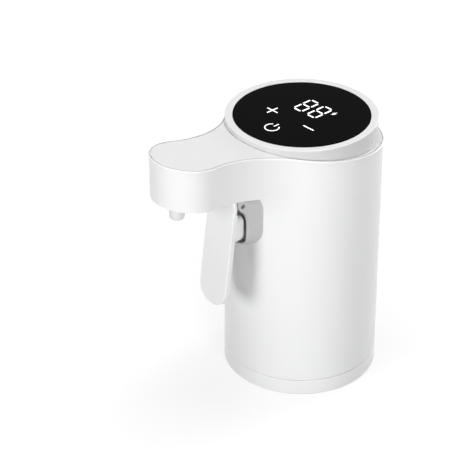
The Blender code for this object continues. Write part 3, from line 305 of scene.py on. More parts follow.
class Finish:
    """A Principled material. Plain numbers sit on its own sockets."""

    def __init__(self, name, colour, **plain):
        self.material = bpy.data.materials.new(name)
        self.material.use_nodes = True
        self.tree = self.material.node_tree
        self.shader = self.tree.nodes["Principled BSDF"]
        self.shader.inputs["Base Color"].default_value = (*colour, 1.0)
        for socket, value in plain.items():
            self.shader.inputs[socket.replace("_", " ")].default_value = value

    def node(self, kind, settings=(), output=0, **values):
        """A node by its type, its settings, and the values or links of its sockets."""
        made = self.tree.nodes.new("ShaderNode" + kind)
        for name, value in dict(settings).items():
            if name == "stops":
                self.stops(made.color_ramp, value)
            else:
                setattr(made, name, value)
        for name, value in values.items():
            socket = made.inputs[name.replace("_", " ")]
            if isinstance(value, Wave):
                self.tree.links.new(value.socket, socket)
            else:
                socket.default_value = value
        return Wave(self.tree, made.outputs[output])

    @staticmethod
    def stops(ramp, stops):
        """Set a ramp's stops from (place, colour) pairs."""
        while len(ramp.elements) > 1:
            ramp.elements.remove(ramp.elements[-1])
        ramp.elements[0].position, ramp.elements[0].color = stops[0]
        for place, colour in stops[1:]:
            ramp.elements.new(place).color = colour

    def feed(self, socket, wave):
        self.tree.links.new(wave.socket, self.shader.inputs[socket])

    def places(self, scale=(1.0, 1.0, 1.0)):
        """Points on the piece, in metres, stretched by a Mapping node."""
        points = self.node("TexCoord", output="Object")
        return self.node("Mapping", Vector=points, Scale=scale)

    def noise(self, size, detail=2.0, places=None):
        """Smooth noise from 0 to 1 whose lumps are about so many millimetres wide."""
        where = places or self.places()
        return self.node("TexNoise", Vector=where, Scale=1.0 / (size * mm), Detail=detail)

    def tint(self, wave, low, high):
        """Base colour that goes from one colour to another with a wave."""
        ramp = self.node("ValToRGB", {"stops": ((0.0, (*low, 1.0)), (1.0, (*high, 1.0)))}, Fac=wave)
        self.feed("Base Color", ramp)
        return ramp

    def relief(self, wave, depth, strength=1.0):
        """Bump that is so many millimetres deep."""
        bump = self.node("Bump", Height=wave, Distance=depth * mm, Strength=strength)
        self.feed("Normal", bump)


# %% [markdown]
# ## White gloss
# The case is a glossy white moulding. A white base under a clear coat gives its soft sheen, a faint cloud
# keeps the colour from being perfectly even, and a shallow wave in the surface bends the reflections as a
# real moulding does. The waves stay wider than a picture point, as finer ones would only show as noise.
# There is no metal in it, since plastic has none, and so it stays white under any light.

# %% White gloss
clear_coat = {"Coat_Weight": 0.45, "Coat_Roughness": 0.12, "IOR": 1.46}


def sheen(finish, roughness):
    """Faint smears in the gloss, and a shallow wave in the surface."""
    finish.feed("Roughness", finish.noise(12.0, 2.0) * 0.04 + roughness)
    finish.relief(finish.noise(7.0, 1.0), 0.012, 0.5)


def white_gloss(name, level, roughness):
    """White or grey by its level, with a faint cloud in it."""
    finish = Finish(name, (level, level, level), **clear_coat)
    cloud = finish.noise(5.0, 2.0) * 0.5 + finish.noise(26.0, 1.0) * 0.5
    finish.tint(cloud, (level * 0.985,) * 3, (level * 1.012,) * 3)
    sheen(finish, roughness - 0.02)
    return finish.material


gloss_white = white_gloss("case_white", 0.87, 0.31)
# Painted shade: the bracket is the case's white plastic, set to a grey level because it sits in shade
# under the arm.
bracket_white_painted_shade = white_gloss("bracket_white_painted_shade", 0.52, 0.32)
# Painted shade: the nozzle is the case's white plastic, a little greyer because it sits in shade under the
# arm.
nozzle_white_painted_shade = white_gloss("nozzle_white_painted_shade", 0.74, 0.32)
lever_white = white_gloss("lever_white", 0.89, 0.36)
print("white finishes:", gloss_white.name, bracket_white_painted_shade.name, nozzle_white_painted_shade.name, lever_white.name)

# %% [markdown]
# ## Satin of the display's ring, with painted shade on its wall
# The ring is a little more satin than the case. Its wall is painted a shade greyer than its flat top, as
# painted shade where the wall turns away from the lamps. The surface's own normal tells the two apart: it
# points up on the top and sideways on the wall.

# %% Ring white, with painted shade on its wall
ring_finish_painted_shade = Finish("ring_white_painted_shade", (0.79, 0.79, 0.79), **clear_coat)
painted_shade_normal_z = ring_finish_painted_shade.node("SeparateXYZ", Vector=ring_finish_painted_shade.node("NewGeometry", output="Normal"), output=2)
# Painted shade: the wall's base colour is darker than the top's, by the normal's direction.
ring_finish_painted_shade.tint(painted_shade_normal_z.above(0.7), (0.66, 0.66, 0.66), (0.84, 0.84, 0.84))
sheen(ring_finish_painted_shade, 0.41)
ring_white_painted_shade = ring_finish_painted_shade.material

# %% [markdown]
# ## Housing
# The body tube and the arm are one moulding. Seen from above its outline is four arcs: the body's
# circle, the small circle at the end of the arm, and a hollow arc on each side that runs into both
# without a corner. The head slopes, so the walls are extruded too long and cut off by sloping planes.

# %% Outline of body and arm
body_radius = 40.0
arm_reach = 75.4
spout_radius = 17.7
arm_fillet = 48.4
head_height = 135.2
head_tilt = radians(8.5)
arm_depth = 22.9
wall_foot = 80.0
wall_length = 90.0
back_steps = 128
front_steps = 40
fillet_steps = 26
spout_steps = 56

near = body_radius + arm_fillet
far = spout_radius + arm_fillet
fillet_y = (arm_reach ** 2 + near ** 2 - far ** 2) / (2 * arm_reach)
fillet_x = sqrt(near ** 2 - fillet_y ** 2)
body_touch = atan2(fillet_x, fillet_y)
spout_touch = atan2(arm_reach - fillet_y, fillet_x)
head_normal = (0.0, sin(head_tilt), cos(head_tilt))


def outline(offset, z):
    """A wire of four arcs at a height, grown by an offset. All of it is left picked."""
    radius = body_radius + offset
    wire = vertex((radius * sin(body_touch), -radius * cos(body_touch), z))
    swing((0, 0, z), 2 * pi - 2 * body_touch, back_steps)
    swing((-fillet_x, -fillet_y, z), body_touch - spout_touch - pi / 2, fillet_steps)
    swing((0, -arm_reach, z), pi + 2 * spout_touch, spout_steps)
    swing((fillet_x, -fillet_y, z), body_touch - spout_touch - pi / 2, fillet_steps)
    bpy.ops.mesh.select_all(action="SELECT")
    bpy.ops.mesh.remove_doubles(threshold=0.004)
    return wire


def slice_off(drop, upper, fill=False):
    """Cut all that is picked by a plane under the head, and drop what lies above it or below it."""
    bpy.ops.mesh.select_all(action="SELECT")
    bpy.ops.mesh.bisect(plane_co=(0, 0, head_height - drop), plane_no=head_normal, use_fill=fill,
                        clear_outer=upper, clear_inner=not upper)


def plan_solid(name, offset, top_drop, low_drop):
    """The outline as a solid between two planes that are parallel to the head."""
    piece = outline(offset, wall_foot)
    bpy.ops.mesh.edge_face_add()
    extrude(0, 0, wall_length)
    slice_off(top_drop, True, True)
    slice_off(low_drop, False, True)
    tidy(piece)
    piece.name = name
    return piece


def head_at(y, drop=0.0):
    """Height of the head plane at y, lowered by drop."""
    return head_height - drop - tan(head_tilt) * y


# %% Body tube and arm as one skin
seam = 0.3
hairline = 0.1
cover_edge = 1.2
base_height = 8.5
housing_wall = 2.2

skin = outline(0.0, wall_foot)
extrude(0, 0, wall_length)
slice_off(cover_edge + hairline, True)
slice_off(arm_depth, False)
rest()

tube_foot = base_height + 0.35
tube = vertex((body_radius * sin(body_touch), -body_radius * cos(body_touch), tube_foot))
swing((0, 0, tube_foot), 2 * pi - 2 * body_touch, back_steps)
swing((0, 0, tube_foot), 2 * body_touch, front_steps)
bpy.ops.mesh.select_all(action="SELECT")
bpy.ops.mesh.remove_doubles(threshold=0.004)
extrude(0, 0, 120.0)
slice_off(arm_depth, True)
rest()

housing = hold(skin, tube)
bpy.ops.object.join()
housing.name = "housing_shell"
shape(housing)
bpy.ops.mesh.remove_doubles(threshold=0.01)
plane_point = Vector((0, 0, head_height - arm_depth))
plane_side = Vector(head_normal)
print("open edges under the arm:", pick("EDGE", lambda edge: len(edge.link_faces) == 1 and all(
    abs((vert.co - plane_point).dot(plane_side)) < 0.01 for vert in edge.verts)))
bpy.ops.mesh.edge_face_add()
bpy.ops.mesh.select_all(action="SELECT")
bpy.ops.mesh.normals_make_consistent(inside=False)
rest()

# %% Wall, edges and holes
arm_edge = 0.8
seam_edge = 0.22
nozzle_y = -81.5
nozzle_radius = 3.75
inlet_z = 48.8
inlet_width = 9.0
inlet_height = 3.2
plunger_z = 97.6
plunger_hole = 1.95
pin_hole = 1.2
bracket_screws = (108.5, 86.5)
wall_y = -body_radius + 2.0


def is_arm_edge(place):
    """On the lower edge of the arm's side wall."""
    on_plane = abs((place - plane_point).dot(plane_side)) < 0.02
    return on_plane and sqrt(place.x ** 2 + place.y ** 2) > body_radius + 0.3


print("arm edges rounded:", soften(housing, arm_edge, is_arm_edge, 4, 60.0))
change(housing, "SOLIDIFY", thickness=housing_wall, offset=-1.0, use_even_offset=True, use_rim=True)
soften(housing, seam_edge, lambda p: p.z < tube_foot + 0.01, 2, 60.0)
top_point = Vector((0, 0, head_height - cover_edge - hairline))
soften(housing, 0.1, lambda p: abs((p - top_point).dot(plane_side)) < 0.02, 1, 60.0)

slot_half = inlet_height / 2 + seam
slot_length = inlet_width - inlet_height
slot = block("slot", (slot_length, 8.0, 2 * slot_half), (0, -wall_y, inlet_z))
weld(slot, *[rod("slot_end", slot_half, 8.0, (side * slot_length / 2, -wall_y, inlet_z), "Y")
             for side in (-1, 1)])
carve(housing, slot,
      rod("nozzle_hole", nozzle_radius + seam, 12.0, (0, nozzle_y, head_at(nozzle_y, arm_depth))),
      rod("plunger_hole", plunger_hole, 8.0, (0, wall_y, plunger_z), "Y"),
      *[rod("screw_hole", 1.2, 8.0, (0, wall_y, z), "Y") for z in bracket_screws])
finish_piece(housing, "body_unit", gloss_white, "gloss_white", "main_housing")

# %% [markdown]
# ## Cover plate
# A thin plate closes arm and shoulder. A fine groove runs round its top just inside the rounded edge:
# it is the grey line that the photograph shows round the head, with the bright edge outside it. The
# joint with the wall below is only a hairline. Under the plate a rib drops inside the wall and a collar
# takes the display's ring.

# %% Cover plate
cover_overhang = 0.3
cover_skin = 2.0
rib_offset = -3.3
rib_wall = 1.2
rib_depth = 4.2
pod_y = -1.5
collar_radius = 35.6
collar_bore = 31.6
collar_seat = 5.3
collar_ledge = 1.6
seat_radius = 35.0


def round_solid(name, radius, top_drop, low_drop):
    """An upright cylinder round the pod's axis, cut off between two planes under the head."""
    piece = rod(name, radius, wall_length, (0, pod_y, head_height), "Z", round_sides)
    shape(piece)
    slice_off(top_drop, True, True)
    slice_off(low_drop, False, True)
    tidy(piece)
    return piece


groove_inset = 0.55
groove_width = 0.6
groove_depth = 0.9

cover = plan_solid("cover_plate", cover_overhang, 0.0, cover_edge)
soften(cover, 0.5, lambda p: p.z > head_at(p.y, 0.05), 4, 60.0)
soften(cover, 0.12, lambda p: p.z < head_at(p.y, cover_edge - 0.05), 1, 60.0)
groove = plan_solid("groove", cover_overhang - groove_inset, -1.0, groove_depth)
carve(groove, plan_solid("groove_core", cover_overhang - groove_inset - groove_width, -2.0,
                         groove_depth + 1.0))
carve(cover, groove)
rib = plan_solid("rib", rib_offset, cover_edge / 2, rib_depth)
carve(rib, plan_solid("rib_room", rib_offset - rib_wall, cover_skin, rib_depth + 1.0))
collar = round_solid("collar", collar_radius, cover_edge / 2, collar_seat + collar_ledge)
weld(cover, rib, collar)
carve(cover, round_solid("seat", seat_radius, -1.0, collar_seat),
      round_solid("bore", collar_bore, 0.0, collar_seat + collar_ledge + 1.0))
finish_piece(cover, "body_unit", gloss_white, "gloss_white", "top_cover")

# %% [markdown]
# ## Display ring
# The ring's top is level while the head slopes, so its wall is a wedge: low toward the arm and tall at
# the back. It is spun as a tall ring, cut by the head's plane, and its spigot is welded on below.

# %% Display ring
pod_top = 144.0
pod_radius = 38.5
pod_draft = 0.052
window_radius = 34.5
window_top = 143.8
window_low = 142.2
ledge_top = window_low - seam
ledge_low = ledge_top - 2.0
ledge_radius = 29.0
spigot_radius = 34.7
spigot_bore = 31.8
tall_low = 112.0
inner_radius = window_radius + 0.12

ring = turned("display_ring", [
    (pod_radius - pod_draft * (pod_top - tall_low), tall_low), (pod_radius, pod_top),
    (inner_radius, pod_top), (inner_radius, ledge_top), (ledge_radius, ledge_top),
    (ledge_radius, ledge_low), (spigot_bore, ledge_low), (spigot_bore, tall_low),
    (pod_radius - pod_draft * (pod_top - tall_low), tall_low)], place=(0.0, pod_y))
shape(ring)
slice_off(-hairline, False, True)
tidy(ring)
spigot_top = ledge_top - 0.4
spigot = turned("spigot", [
    (spigot_bore, tall_low), (spigot_radius, tall_low), (spigot_radius, spigot_top),
    (spigot_bore, spigot_top), (spigot_bore, tall_low)], place=(0.0, pod_y))
shape(spigot)
slice_off(5.0, False, True)
tidy(spigot)
weld(ring, spigot)


def pod_distance(place):
    return sqrt(place.x ** 2 + (place.y - pod_y) ** 2)


def on_ring_foot(place):
    """On the ring's lower outer edge, just above the head."""
    return pod_distance(place) > spigot_radius + 1.0 and place.z < head_at(place.y, -hairline - 0.05)


soften(ring, 0.45, lambda p: p.z > pod_top - 0.01 and pod_distance(p) > pod_radius - 0.2, 4, 60.0)
soften(ring, 0.25, lambda p: p.z > pod_top - 0.01 and pod_distance(p) < inner_radius + 0.05, 3, 60.0)
soften(ring, 0.25, on_ring_foot, 2, 60.0)
finish_piece(ring, "body_unit", ring_white_painted_shade, "gloss_white", "display_bezel")

# %% [markdown]
# ## Window
# One disc of dark glass, a little lower than the ring round it. It looks black because the space behind
# it is dark, so its finish is a very dark, very smooth surface with the faintest smears of a fingertip.

# %% Dark glass
glass = Finish("dark_glass", (0.002, 0.002, 0.0022), IOR=1.5, Specular_IOR_Level=0.01)
glass.tint(glass.noise(18.0, 2.0), (0.0017, 0.0017, 0.0019), (0.0023, 0.0023, 0.0025))
glass.feed("Roughness", glass.noise(7.0, 4.0).power(3.0) * 0.18 + 0.05)
window = turned("window_glass", [(0, window_low), (window_radius, window_low), (window_radius, window_top),
                                 (0, window_top)], place=(0.0, pod_y))
soften(window, 0.25, None, 3, 60.0)
finish_piece(window, "body_unit", glass.material, "black_glass", "display_window")

# %% [markdown]
# ## Lit figures and key signs
# Two figures of seven bars and the signs for plus, minus, power and charging shine through the glass.
# Each is a thin raised print with an even glow. Their layout is turned by a few degrees on the glass,
# as the photograph shows.

# %% Lit prints
glow = Finish("lit_print", (0.9, 0.92, 0.94), Roughness=0.5, Emission_Strength=0.85)
haze = glow.noise(1.2, 2.0)
glow.feed("Emission Color", glow.node("ValToRGB", {"stops": (
    (0.2, (0.86, 0.9, 0.95, 1.0)), (0.8, (1.0, 1.0, 1.0, 1.0)))}, Fac=haze))
print_height = 0.06
print_turn = radians(2.8)
print_z = window_top + print_height / 2


def bar(x, y, length, width, turn=0.0, tip=0.3):
    """A flat bar with softened corners, lying along x before it is turned."""
    piece = block("bar", (length, width, print_height), (0, 0, 0))
    shape(piece, "EDGE")
    pick("EDGE", lambda edge: abs(middle(edge).z) < 0.001)
    bpy.ops.mesh.bevel(offset=width * tip, segments=3, affect="EDGES")
    rest()
    return move(piece, (x, y, print_z), (0, 0, turn))


def printed(name, bars):
    """Join bars into one print, turn it with the layout and lay it on the glass."""
    hold(*bars)
    if len(bars) > 1:
        bpy.ops.object.join()
    piece = bars[0]
    piece.name = name
    move(piece, (0, pod_y, 0), (0, 0, print_turn))
    return finish_piece(piece, "body_unit", glow.material, "black_glass")


figure_width = 5.6
figure_height = 12.4
stroke = 0.92
break_gap = 0.5
figure_y = 7.75


def figure(name, x):
    """A figure of seven bars."""
    half_width = figure_width / 2
    half = figure_height / 2
    across = figure_width - stroke - break_gap
    upright = half - stroke - break_gap
    bars = [bar(x, figure_y + level * half, across, stroke) for level in (-1, 0, 1)]
    bars += [bar(x + side * half_width, figure_y + level * half / 2, upright, stroke, pi / 2)
             for side in (-1, 1) for level in (-1, 1)]
    return printed(name, bars)


figure("figure_tens", -4.7)
figure("figure_ones", 4.7)
printed("sign_plus", [bar(-12.7, -8.1, 7.3, 0.7), bar(-12.7, -8.1, 7.3, 0.7, pi / 2)])
printed("sign_minus", [bar(12.7, -7.9, 7.1, 0.75)])

# %% Power and charging signs
power_y = -20.6
power_radius = 3.55
power_gap = radians(74)
power_stroke = 0.58

arc_start = (power_radius * sin(power_gap / 2), power_radius * cos(power_gap / 2))
arc = vertex((*arc_start, print_z - print_height / 2))
swing((0, 0, 0), power_gap - 2 * pi, 40)
bpy.ops.mesh.select_all(action="SELECT")
extrude(0, 0, print_height)
rest()
change(arc, "SOLIDIFY", thickness=power_stroke, offset=0.0, use_even_offset=True)
tidy(arc)
move(arc, (0, power_y, 0))
printed("sign_power", [arc, bar(0, power_y + 3.1, 3.3, power_stroke, pi / 2)])

bolt_points = ((0.5, 2.0), (-1.15, -0.3), (-0.15, -0.3), (-0.5, -2.0), (1.15, 0.3), (0.15, 0.3))
bolt = vertex((*bolt_points[0], print_z - print_height / 2))
for before, after in zip(bolt_points, bolt_points[1:] + bolt_points[:1]):
    extrude(after[0] - before[0], after[1] - before[1], 0)
bpy.ops.mesh.select_all(action="SELECT")
bpy.ops.mesh.remove_doubles(threshold=0.004)
bpy.ops.mesh.edge_face_add()
extrude(0, 0, print_height)
rest()
tidy(bolt)
move(bolt, (10.9, 11.8, 0))
printed("sign_charge", [bolt])

# %% [markdown]
# ## Base ring
# A shallow cup closes the tube from below. A fine seam parts it from the tube, and the edge under the
# seam catches a thin line of light. Three sunk screws hold it, and the hole takes the socket.

# %% Base ring
socket_radius = 19.0
hole_radius = socket_radius + seam
boss_ring = 27.45
screw_turns = (pi / 2, pi * 7 / 6, pi * 11 / 6)
base_screws = [(boss_ring * cos(turn), boss_ring * sin(turn)) for turn in screw_turns]
base = turned("base_ring", [
    (hole_radius, 0), (body_radius, 0), (body_radius, base_height), (37.5, base_height), (37.5, 12.5),
    (35.9, 12.5), (35.9, 3.0), (hole_radius, 3.0), (hole_radius, 0)], 168)
soften(base, 0.7, lambda p: p.z < 0.01 and p.xy.length > 39.0, 4, 60.0)
soften(base, 0.45, lambda p: abs(p.z - base_height) < 0.01 and p.xy.length > 39.0, 3, 60.0)
soften(base, 0.4, lambda p: p.z < 0.01 and p.xy.length < 20.0, 3, 60.0)
for x, y in base_screws:
    carve(base, turned("seat", [(0, -1.0), (2.5, -1.0), (2.5, 1.6), (1.2, 1.6), (1.2, 4.0), (0, 4.0)],
                       40, (x, y)))
finish_piece(base, "body_unit", gloss_white, "gloss_white", "base_cover")

# %% [markdown]
# ## Nozzle
# The outlet is a short white spigot under the end of the arm, with a rounded tip and a fine bore.

# %% Nozzle
nozzle_tip = 114.6
nozzle = turned("nozzle_spout", [
    (1.8, nozzle_tip), (nozzle_radius, nozzle_tip), (nozzle_radius, 129.13), (7.0, 129.13), (7.0, 130.53),
    (2.6, 130.53), (2.6, 133.03), (1.8, 133.03), (1.8, nozzle_tip)], 64, (0.0, nozzle_y))
nozzle_end = Vector((0, nozzle_y, nozzle_tip))
soften(nozzle, 1.0, lambda p: p.z < nozzle_tip + 0.01 and abs(p.x) + abs(p.y - nozzle_y) > 3.0, 5, 60.0)
soften(nozzle, 0.35, lambda p: p.z < nozzle_tip + 0.01 and (p - nozzle_end).length < 2.1, 3, 60.0)
finish_piece(nozzle, "body_unit", nozzle_white_painted_shade, "gloss_white", "nozzle")

# %% [markdown]
# ## Lever bracket
# Under the arm the body carries a cup with a recess for the lever's pusher and two ears for the hinge
# pin. Its outline is a rectangle with large lower corners where it meets the body, and it narrows to
# the front as a moulding with draft does. Such a form is a loft: two outlines are drawn, one behind the
# other, and bridged. Carving then leaves the rim, the ears and the recess.

# %% Two outlines, bridged
bracket_rim = -46.0
ear_front = -51.0
ear_inner = 7.9
corner_steps = 12
hinge = Vector((0.0, -48.6, 112.8))


def upright_outline(half_x, z_low, z_high, low_corner, high_corner, y):
    """An upright wire across the body, whose lower and upper corners have their own radius."""
    rest()
    bpy.ops.mesh.primitive_plane_add(size=1.0)
    piece = bpy.context.object
    piece.scale = (2 * half_x, z_high - z_low, 1.0)
    bpy.ops.object.transform_apply(scale=True)
    move(piece, (0, y, (z_low + z_high) / 2), (pi / 2, 0, 0))
    shape(piece)
    centre_z = (z_low + z_high) / 2
    pick("VERT", lambda vert: vert.co.z < centre_z)
    bpy.ops.mesh.bevel(offset=low_corner, segments=corner_steps, affect="VERTICES")
    pick("VERT", lambda vert: vert.co.z > z_high - 0.01)
    bpy.ops.mesh.bevel(offset=high_corner, segments=corner_steps, affect="VERTICES")
    bpy.ops.mesh.select_all(action="SELECT")
    bpy.ops.mesh.delete(type="ONLY_FACE")
    rest()
    return piece


def lofted(name, first, second):
    """Bridge two outlines that have the same number of points, and close both ends."""
    hold(first, second)
    bpy.ops.object.join()
    shape(first, "EDGE")
    bpy.ops.mesh.bridge_edge_loops()
    pick("EDGE", lambda edge: len(edge.link_faces) == 1)
    bpy.ops.mesh.fill_holes(sides=0)
    tidy(first)
    first.name = name
    return first


def side_prism(name, points, half_x):
    """A shape drawn from the side, as (y, z) points, and extruded across."""
    piece = vertex((-half_x, *points[0]))
    for before, after in zip(points, points[1:] + points[:1]):
        extrude(0, after[0] - before[0], after[1] - before[1])
    bpy.ops.mesh.select_all(action="SELECT")
    bpy.ops.mesh.remove_doubles(threshold=0.004)
    bpy.ops.mesh.edge_face_add()
    extrude(2 * half_x, 0, 0)
    rest()
    tidy(piece)
    piece.name = name
    return piece


# %% Bracket
cup_back = (13.7, 83.6, 115.4, 13.5, 8.5)
cup_front = (10.1, 87.1, 116.4, 9.8, 1.2)
recess_form = (9.8, 88.4, 105.9, 6.0, 3.5)
recess_depth = 3.4

bracket = lofted("bracket_cup", upright_outline(*cup_back, -36.0), upright_outline(*cup_front, ear_front))
carve(bracket,
      side_prism("front_room", [(-60.0, 80.0), (bracket_rim, 80.0), (bracket_rim, 105.3), (-47.1, 107.8),
                                (-48.4, 109.1), (-49.9, 110.2), (-51.2, 112.4), (-60.0, 112.4)], 20.0),
      block("ear_room", (2 * ear_inner, 20.0, 40.0), (0, bracket_rim - 10.0, 124.0)),
      block("hinge_room", (2 * ear_inner, 12.0, 20.0), (0, -49.7, 117.1)))


def is_rim(place):
    return abs(place.y - bracket_rim) < 0.02 and place.z < 105.0


soften(bracket, 1.15, is_rim, 5, 50.0)
soften(bracket, 0.3, lambda p: p.y < bracket_rim - 0.2 and abs(p.x) > ear_inner + 0.4, 2, 50.0)
recess = lofted("recess", upright_outline(*recess_form, bracket_rim + recess_depth),
                upright_outline(*recess_form, bracket_rim - 1.0))
carve(bracket, recess, rod("body_face", body_radius + 0.05, 90.0, (0, 0, 97.5), "Z", 168),
      rod("plunger_hole", plunger_hole, 12.0, (0, -42.0, plunger_z), "Y"),
      rod("pin_hole", pin_hole, 30.0, hinge, "X", 32),
      rod("head_seat", 1.85, 4.0, hinge - Vector((11.85, 0, 0)), "X", 40))
print("rim edges:", soften(bracket, 0.25, lambda p: abs(p.y - bracket_rim) < 0.01, 2, 60.0))
finish_piece(bracket, "body_unit", bracket_white_painted_shade, "gloss_white", "lever_bracket")

# %% [markdown]
# ## Lever
# The lever is a flat paddle that hangs from its pin with its foot a little forward. Its foot is half
# round, its edges are soft, and a block on its back goes into the bracket's recess.

# %% Lever
lever_lean = radians(7.4)
lever_top = 116.0
lever_foot = 56.5
lever_half = 10.0
lever_thick = 3.0
foot_corner = 8.8
head_corner = 2.0
shoulder_turn = 0.42
pocket_start = 3.0
pusher_form = (8.4, 90.2, 104.9, 5.0, 3.0)
pusher_back = -45.7


def lever_face(z):
    """How far forward the lever's front face is at a height."""
    return -(55.5 + (97.5 - z) * tan(lever_lean))


lever_mid = (lever_top + lever_foot) / 2
half_length = (lever_top - lever_foot) / 2 / cos(lever_lean)
lever = block("lever_paddle", (2 * lever_half, lever_thick, 2 * half_length), (0, lever_thick / 2, 0))
shape(lever, "EDGE")
pick("EDGE", lambda edge: abs(middle(edge).x) > lever_half - 0.01 and middle(edge).z < -half_length + 0.01)
bpy.ops.mesh.bevel(offset=foot_corner, segments=14, affect="EDGES")
pick("EDGE", lambda edge: abs(middle(edge).x) > lever_half - 0.01 and middle(edge).z > half_length - 0.01)
bpy.ops.mesh.bevel(offset=head_corner, segments=5, affect="EDGES")
rest()
for side in (-1, 1):
    shoulder_place = (side * (8.95 + 1.5 * cos(shoulder_turn)), 0, half_length - 0.4)
    carve(lever, block("shoulder", (3.0, 8.0, 12.0), shoulder_place, (0, -side * shoulder_turn, 0)))
soften(lever, 0.75, None, 4, 20.0)
for side in (-1, 1):
    pocket_place = (side * (pocket_start + lever_half / 2), lever_thick, half_length - 1.1)
    carve(lever, block("pocket", (lever_half, 2.4, 12.0), pocket_place))
move(lever, (0, lever_face(lever_mid), lever_mid), (-lever_lean, 0, 0))
pusher = lofted("pusher", upright_outline(*pusher_form, pusher_back),
                upright_outline(*pusher_form, lever_face(97.3) + lever_thick / 2))
soften(pusher, 1.2, lambda p: p.y > pusher_back - 0.01, 5, 60.0)
knuckle = rod("knuckle", 2.6, 4.8, hinge, "X", 48)
web = block("web", (4.8, 4.5, 3.7), (0, hinge.y - 3.0, hinge.z - 0.75))
weld(lever, pusher, knuckle, web)
carve(lever, rod("pin_hole", pin_hole, 8.0, hinge, "X", 32))
finish_piece(lever, "lever_unit", lever_white, "gloss_white", "lever")

# %% [markdown]
# ## Pin, spring, screws and inlet
# The hinge pin is a turned steel rod with a head. The torsion spring sits on it: its coil is a small
# circle carried round a screw path, and each end runs straight down as a leg. The screws of the base
# have a rounded head with a cross in it. The charging inlet at the back is a drawn steel shell with a
# dark tongue.

# %% Metals
def metal(name, colour, roughness, brush=(1.0, 1.0, 1.0)):
    finish = Finish(name, colour, Metallic=1.0)
    grain = finish.noise(0.5, 3.0, finish.places(brush))
    finish.tint(grain, tuple(c * 0.92 for c in colour), colour)
    finish.feed("Roughness", grain * 0.08 + (roughness - 0.04))
    finish.relief(grain, 0.004, 0.4)
    return finish.material


steel = metal("bright_steel", (0.60, 0.60, 0.61), 0.34)
pin_steel = metal("pin_steel", (0.20, 0.20, 0.205), 0.34)

# %% Hinge pin
pin_radius = 1.1
pin_head = 1.7
pin = turned("pivot_pin", [(0, -10.7), (pin_head, -10.7), (pin_head, -9.9), (pin_radius, -9.9),
                           (pin_radius, 10.2), (0, 10.2)], 40)
soften(pin, 0.25, None, 3, 60.0)
move(pin, hinge, (0, pi / 2, 0))
finish_piece(pin, "body_unit", pin_steel, "steel", "hinge_pin")

# %% Torsion spring
wire_radius = 0.25
coil_radius = 1.75
coil_turns = 2.5
coil_pitch = 1.15
coil_start = 3.8
leg_length = 3.75

rest()
bpy.ops.mesh.primitive_circle_add(vertices=10, radius=wire_radius, fill_type="NOTHING",
                                  rotation=(pi / 2, 0, 0), location=(coil_radius, 0, 0))
spring = bpy.context.object
spring.name = "torsion_spring"
bpy.ops.object.transform_apply(location=True, rotation=True, scale=True)
change(spring, "SCREW", axis="Z", angle=coil_turns * 2 * pi, screw_offset=coil_turns * coil_pitch,
       steps=70, render_steps=70, use_merge_vertices=False)
shape(spring)
end_angle = coil_turns * 2 * pi
coil_ends = [Vector((coil_radius, 0, 0)),
             Vector((coil_radius * cos(end_angle), coil_radius * sin(end_angle), coil_turns * coil_pitch))]
for place in coil_ends:
    pick("VERT", lambda vert: (vert.co - place).length < wire_radius + 0.02)
    extrude(0, -leg_length, 0)
    bpy.ops.mesh.edge_face_add()
tidy(spring)
move(spring, hinge + Vector((coil_start, 0, 0)), (pi / 2, 0, pi / 2))
print("spring legs reach z = %.1f mm" % min(vert.co.z for vert in spring.data.vertices))
finish_piece(spring, "body_unit", steel, "steel", "lever_spring")

# %% Base screws
screw_head = 2.2
screw = turned("base_screw", [(0, 0.25), (1.3, 0.25), (screw_head, 0.7), (screw_head, 1.5), (1.05, 1.5),
                              (1.05, 13.0), (0.6, 13.3), (0, 13.3)], 32)
carve(screw, block("cross", (2.4, 0.45, 1.4), (0, 0, 0.2)), block("cross", (0.45, 2.4, 1.4), (0, 0, 0.2)))
for number, (x, y) in enumerate(base_screws, 1):
    copied = screw.copy()
    copied.data = screw.data.copy()
    bpy.context.collection.objects.link(copied)
    copied.name = "foot_screw_%d" % number
    move(copied, (x, y, 0), (0, 0, 0.7 * number))
    finish_piece(copied, "body_unit", steel, "steel", "base_screw_%d" % number)
bpy.data.objects.remove(screw)

# %% Charging inlet
port_low, port_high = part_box("charge_port")
port_back = port_high.y / mm - axis_y / mm
port_front = port_low.y / mm - axis_y / mm
port_floor = port_front + 1.2
shell_form = (inlet_width / 2, inlet_z - 1.6, inlet_z + 1.6, 1.55, 1.55)
room_form = (4.15, inlet_z - 1.25, inlet_z + 1.25, 1.2, 1.2)
shell = lofted("inlet_shell", upright_outline(*shell_form, port_back),
               upright_outline(*shell_form, port_front))
carve(shell, lofted("inlet_room", upright_outline(*room_form, port_back + 1.0),
                    upright_outline(*room_form, port_floor)))
soften(shell, 0.1, lambda p: p.y > port_back - 0.01, 2, 60.0)
finish_piece(shell, "body_unit", steel, "steel", "charge_port")
tongue_tip = port_back - 1.2
tongue_middle = (tongue_tip + port_floor) / 2
tongue = block("inlet_tongue", (6.4, tongue_tip - port_floor, 0.7), (0, tongue_middle, inlet_z))
soften(tongue, 0.15, None, 2, 60.0)

# %% [markdown]
# ## Finishes of what is inside
# The rest of the object keeps its CAD meshes. Each node gets the finish that its slot names: matt
# mouldings with a fine grain, rubber that is a little cloudy, a lacquered board.

# %% Inner finishes
def matt(name, dark, light, roughness, grain=0.5, depth=0.01):
    """A moulding with a spark-eroded grain."""
    finish = Finish(name, light)
    spots = finish.noise(grain, 3.0)
    finish.tint(spots, dark, light)
    finish.feed("Roughness", spots * 0.16 + (roughness - 0.08))
    finish.relief(spots, depth, 0.6)
    return finish.material


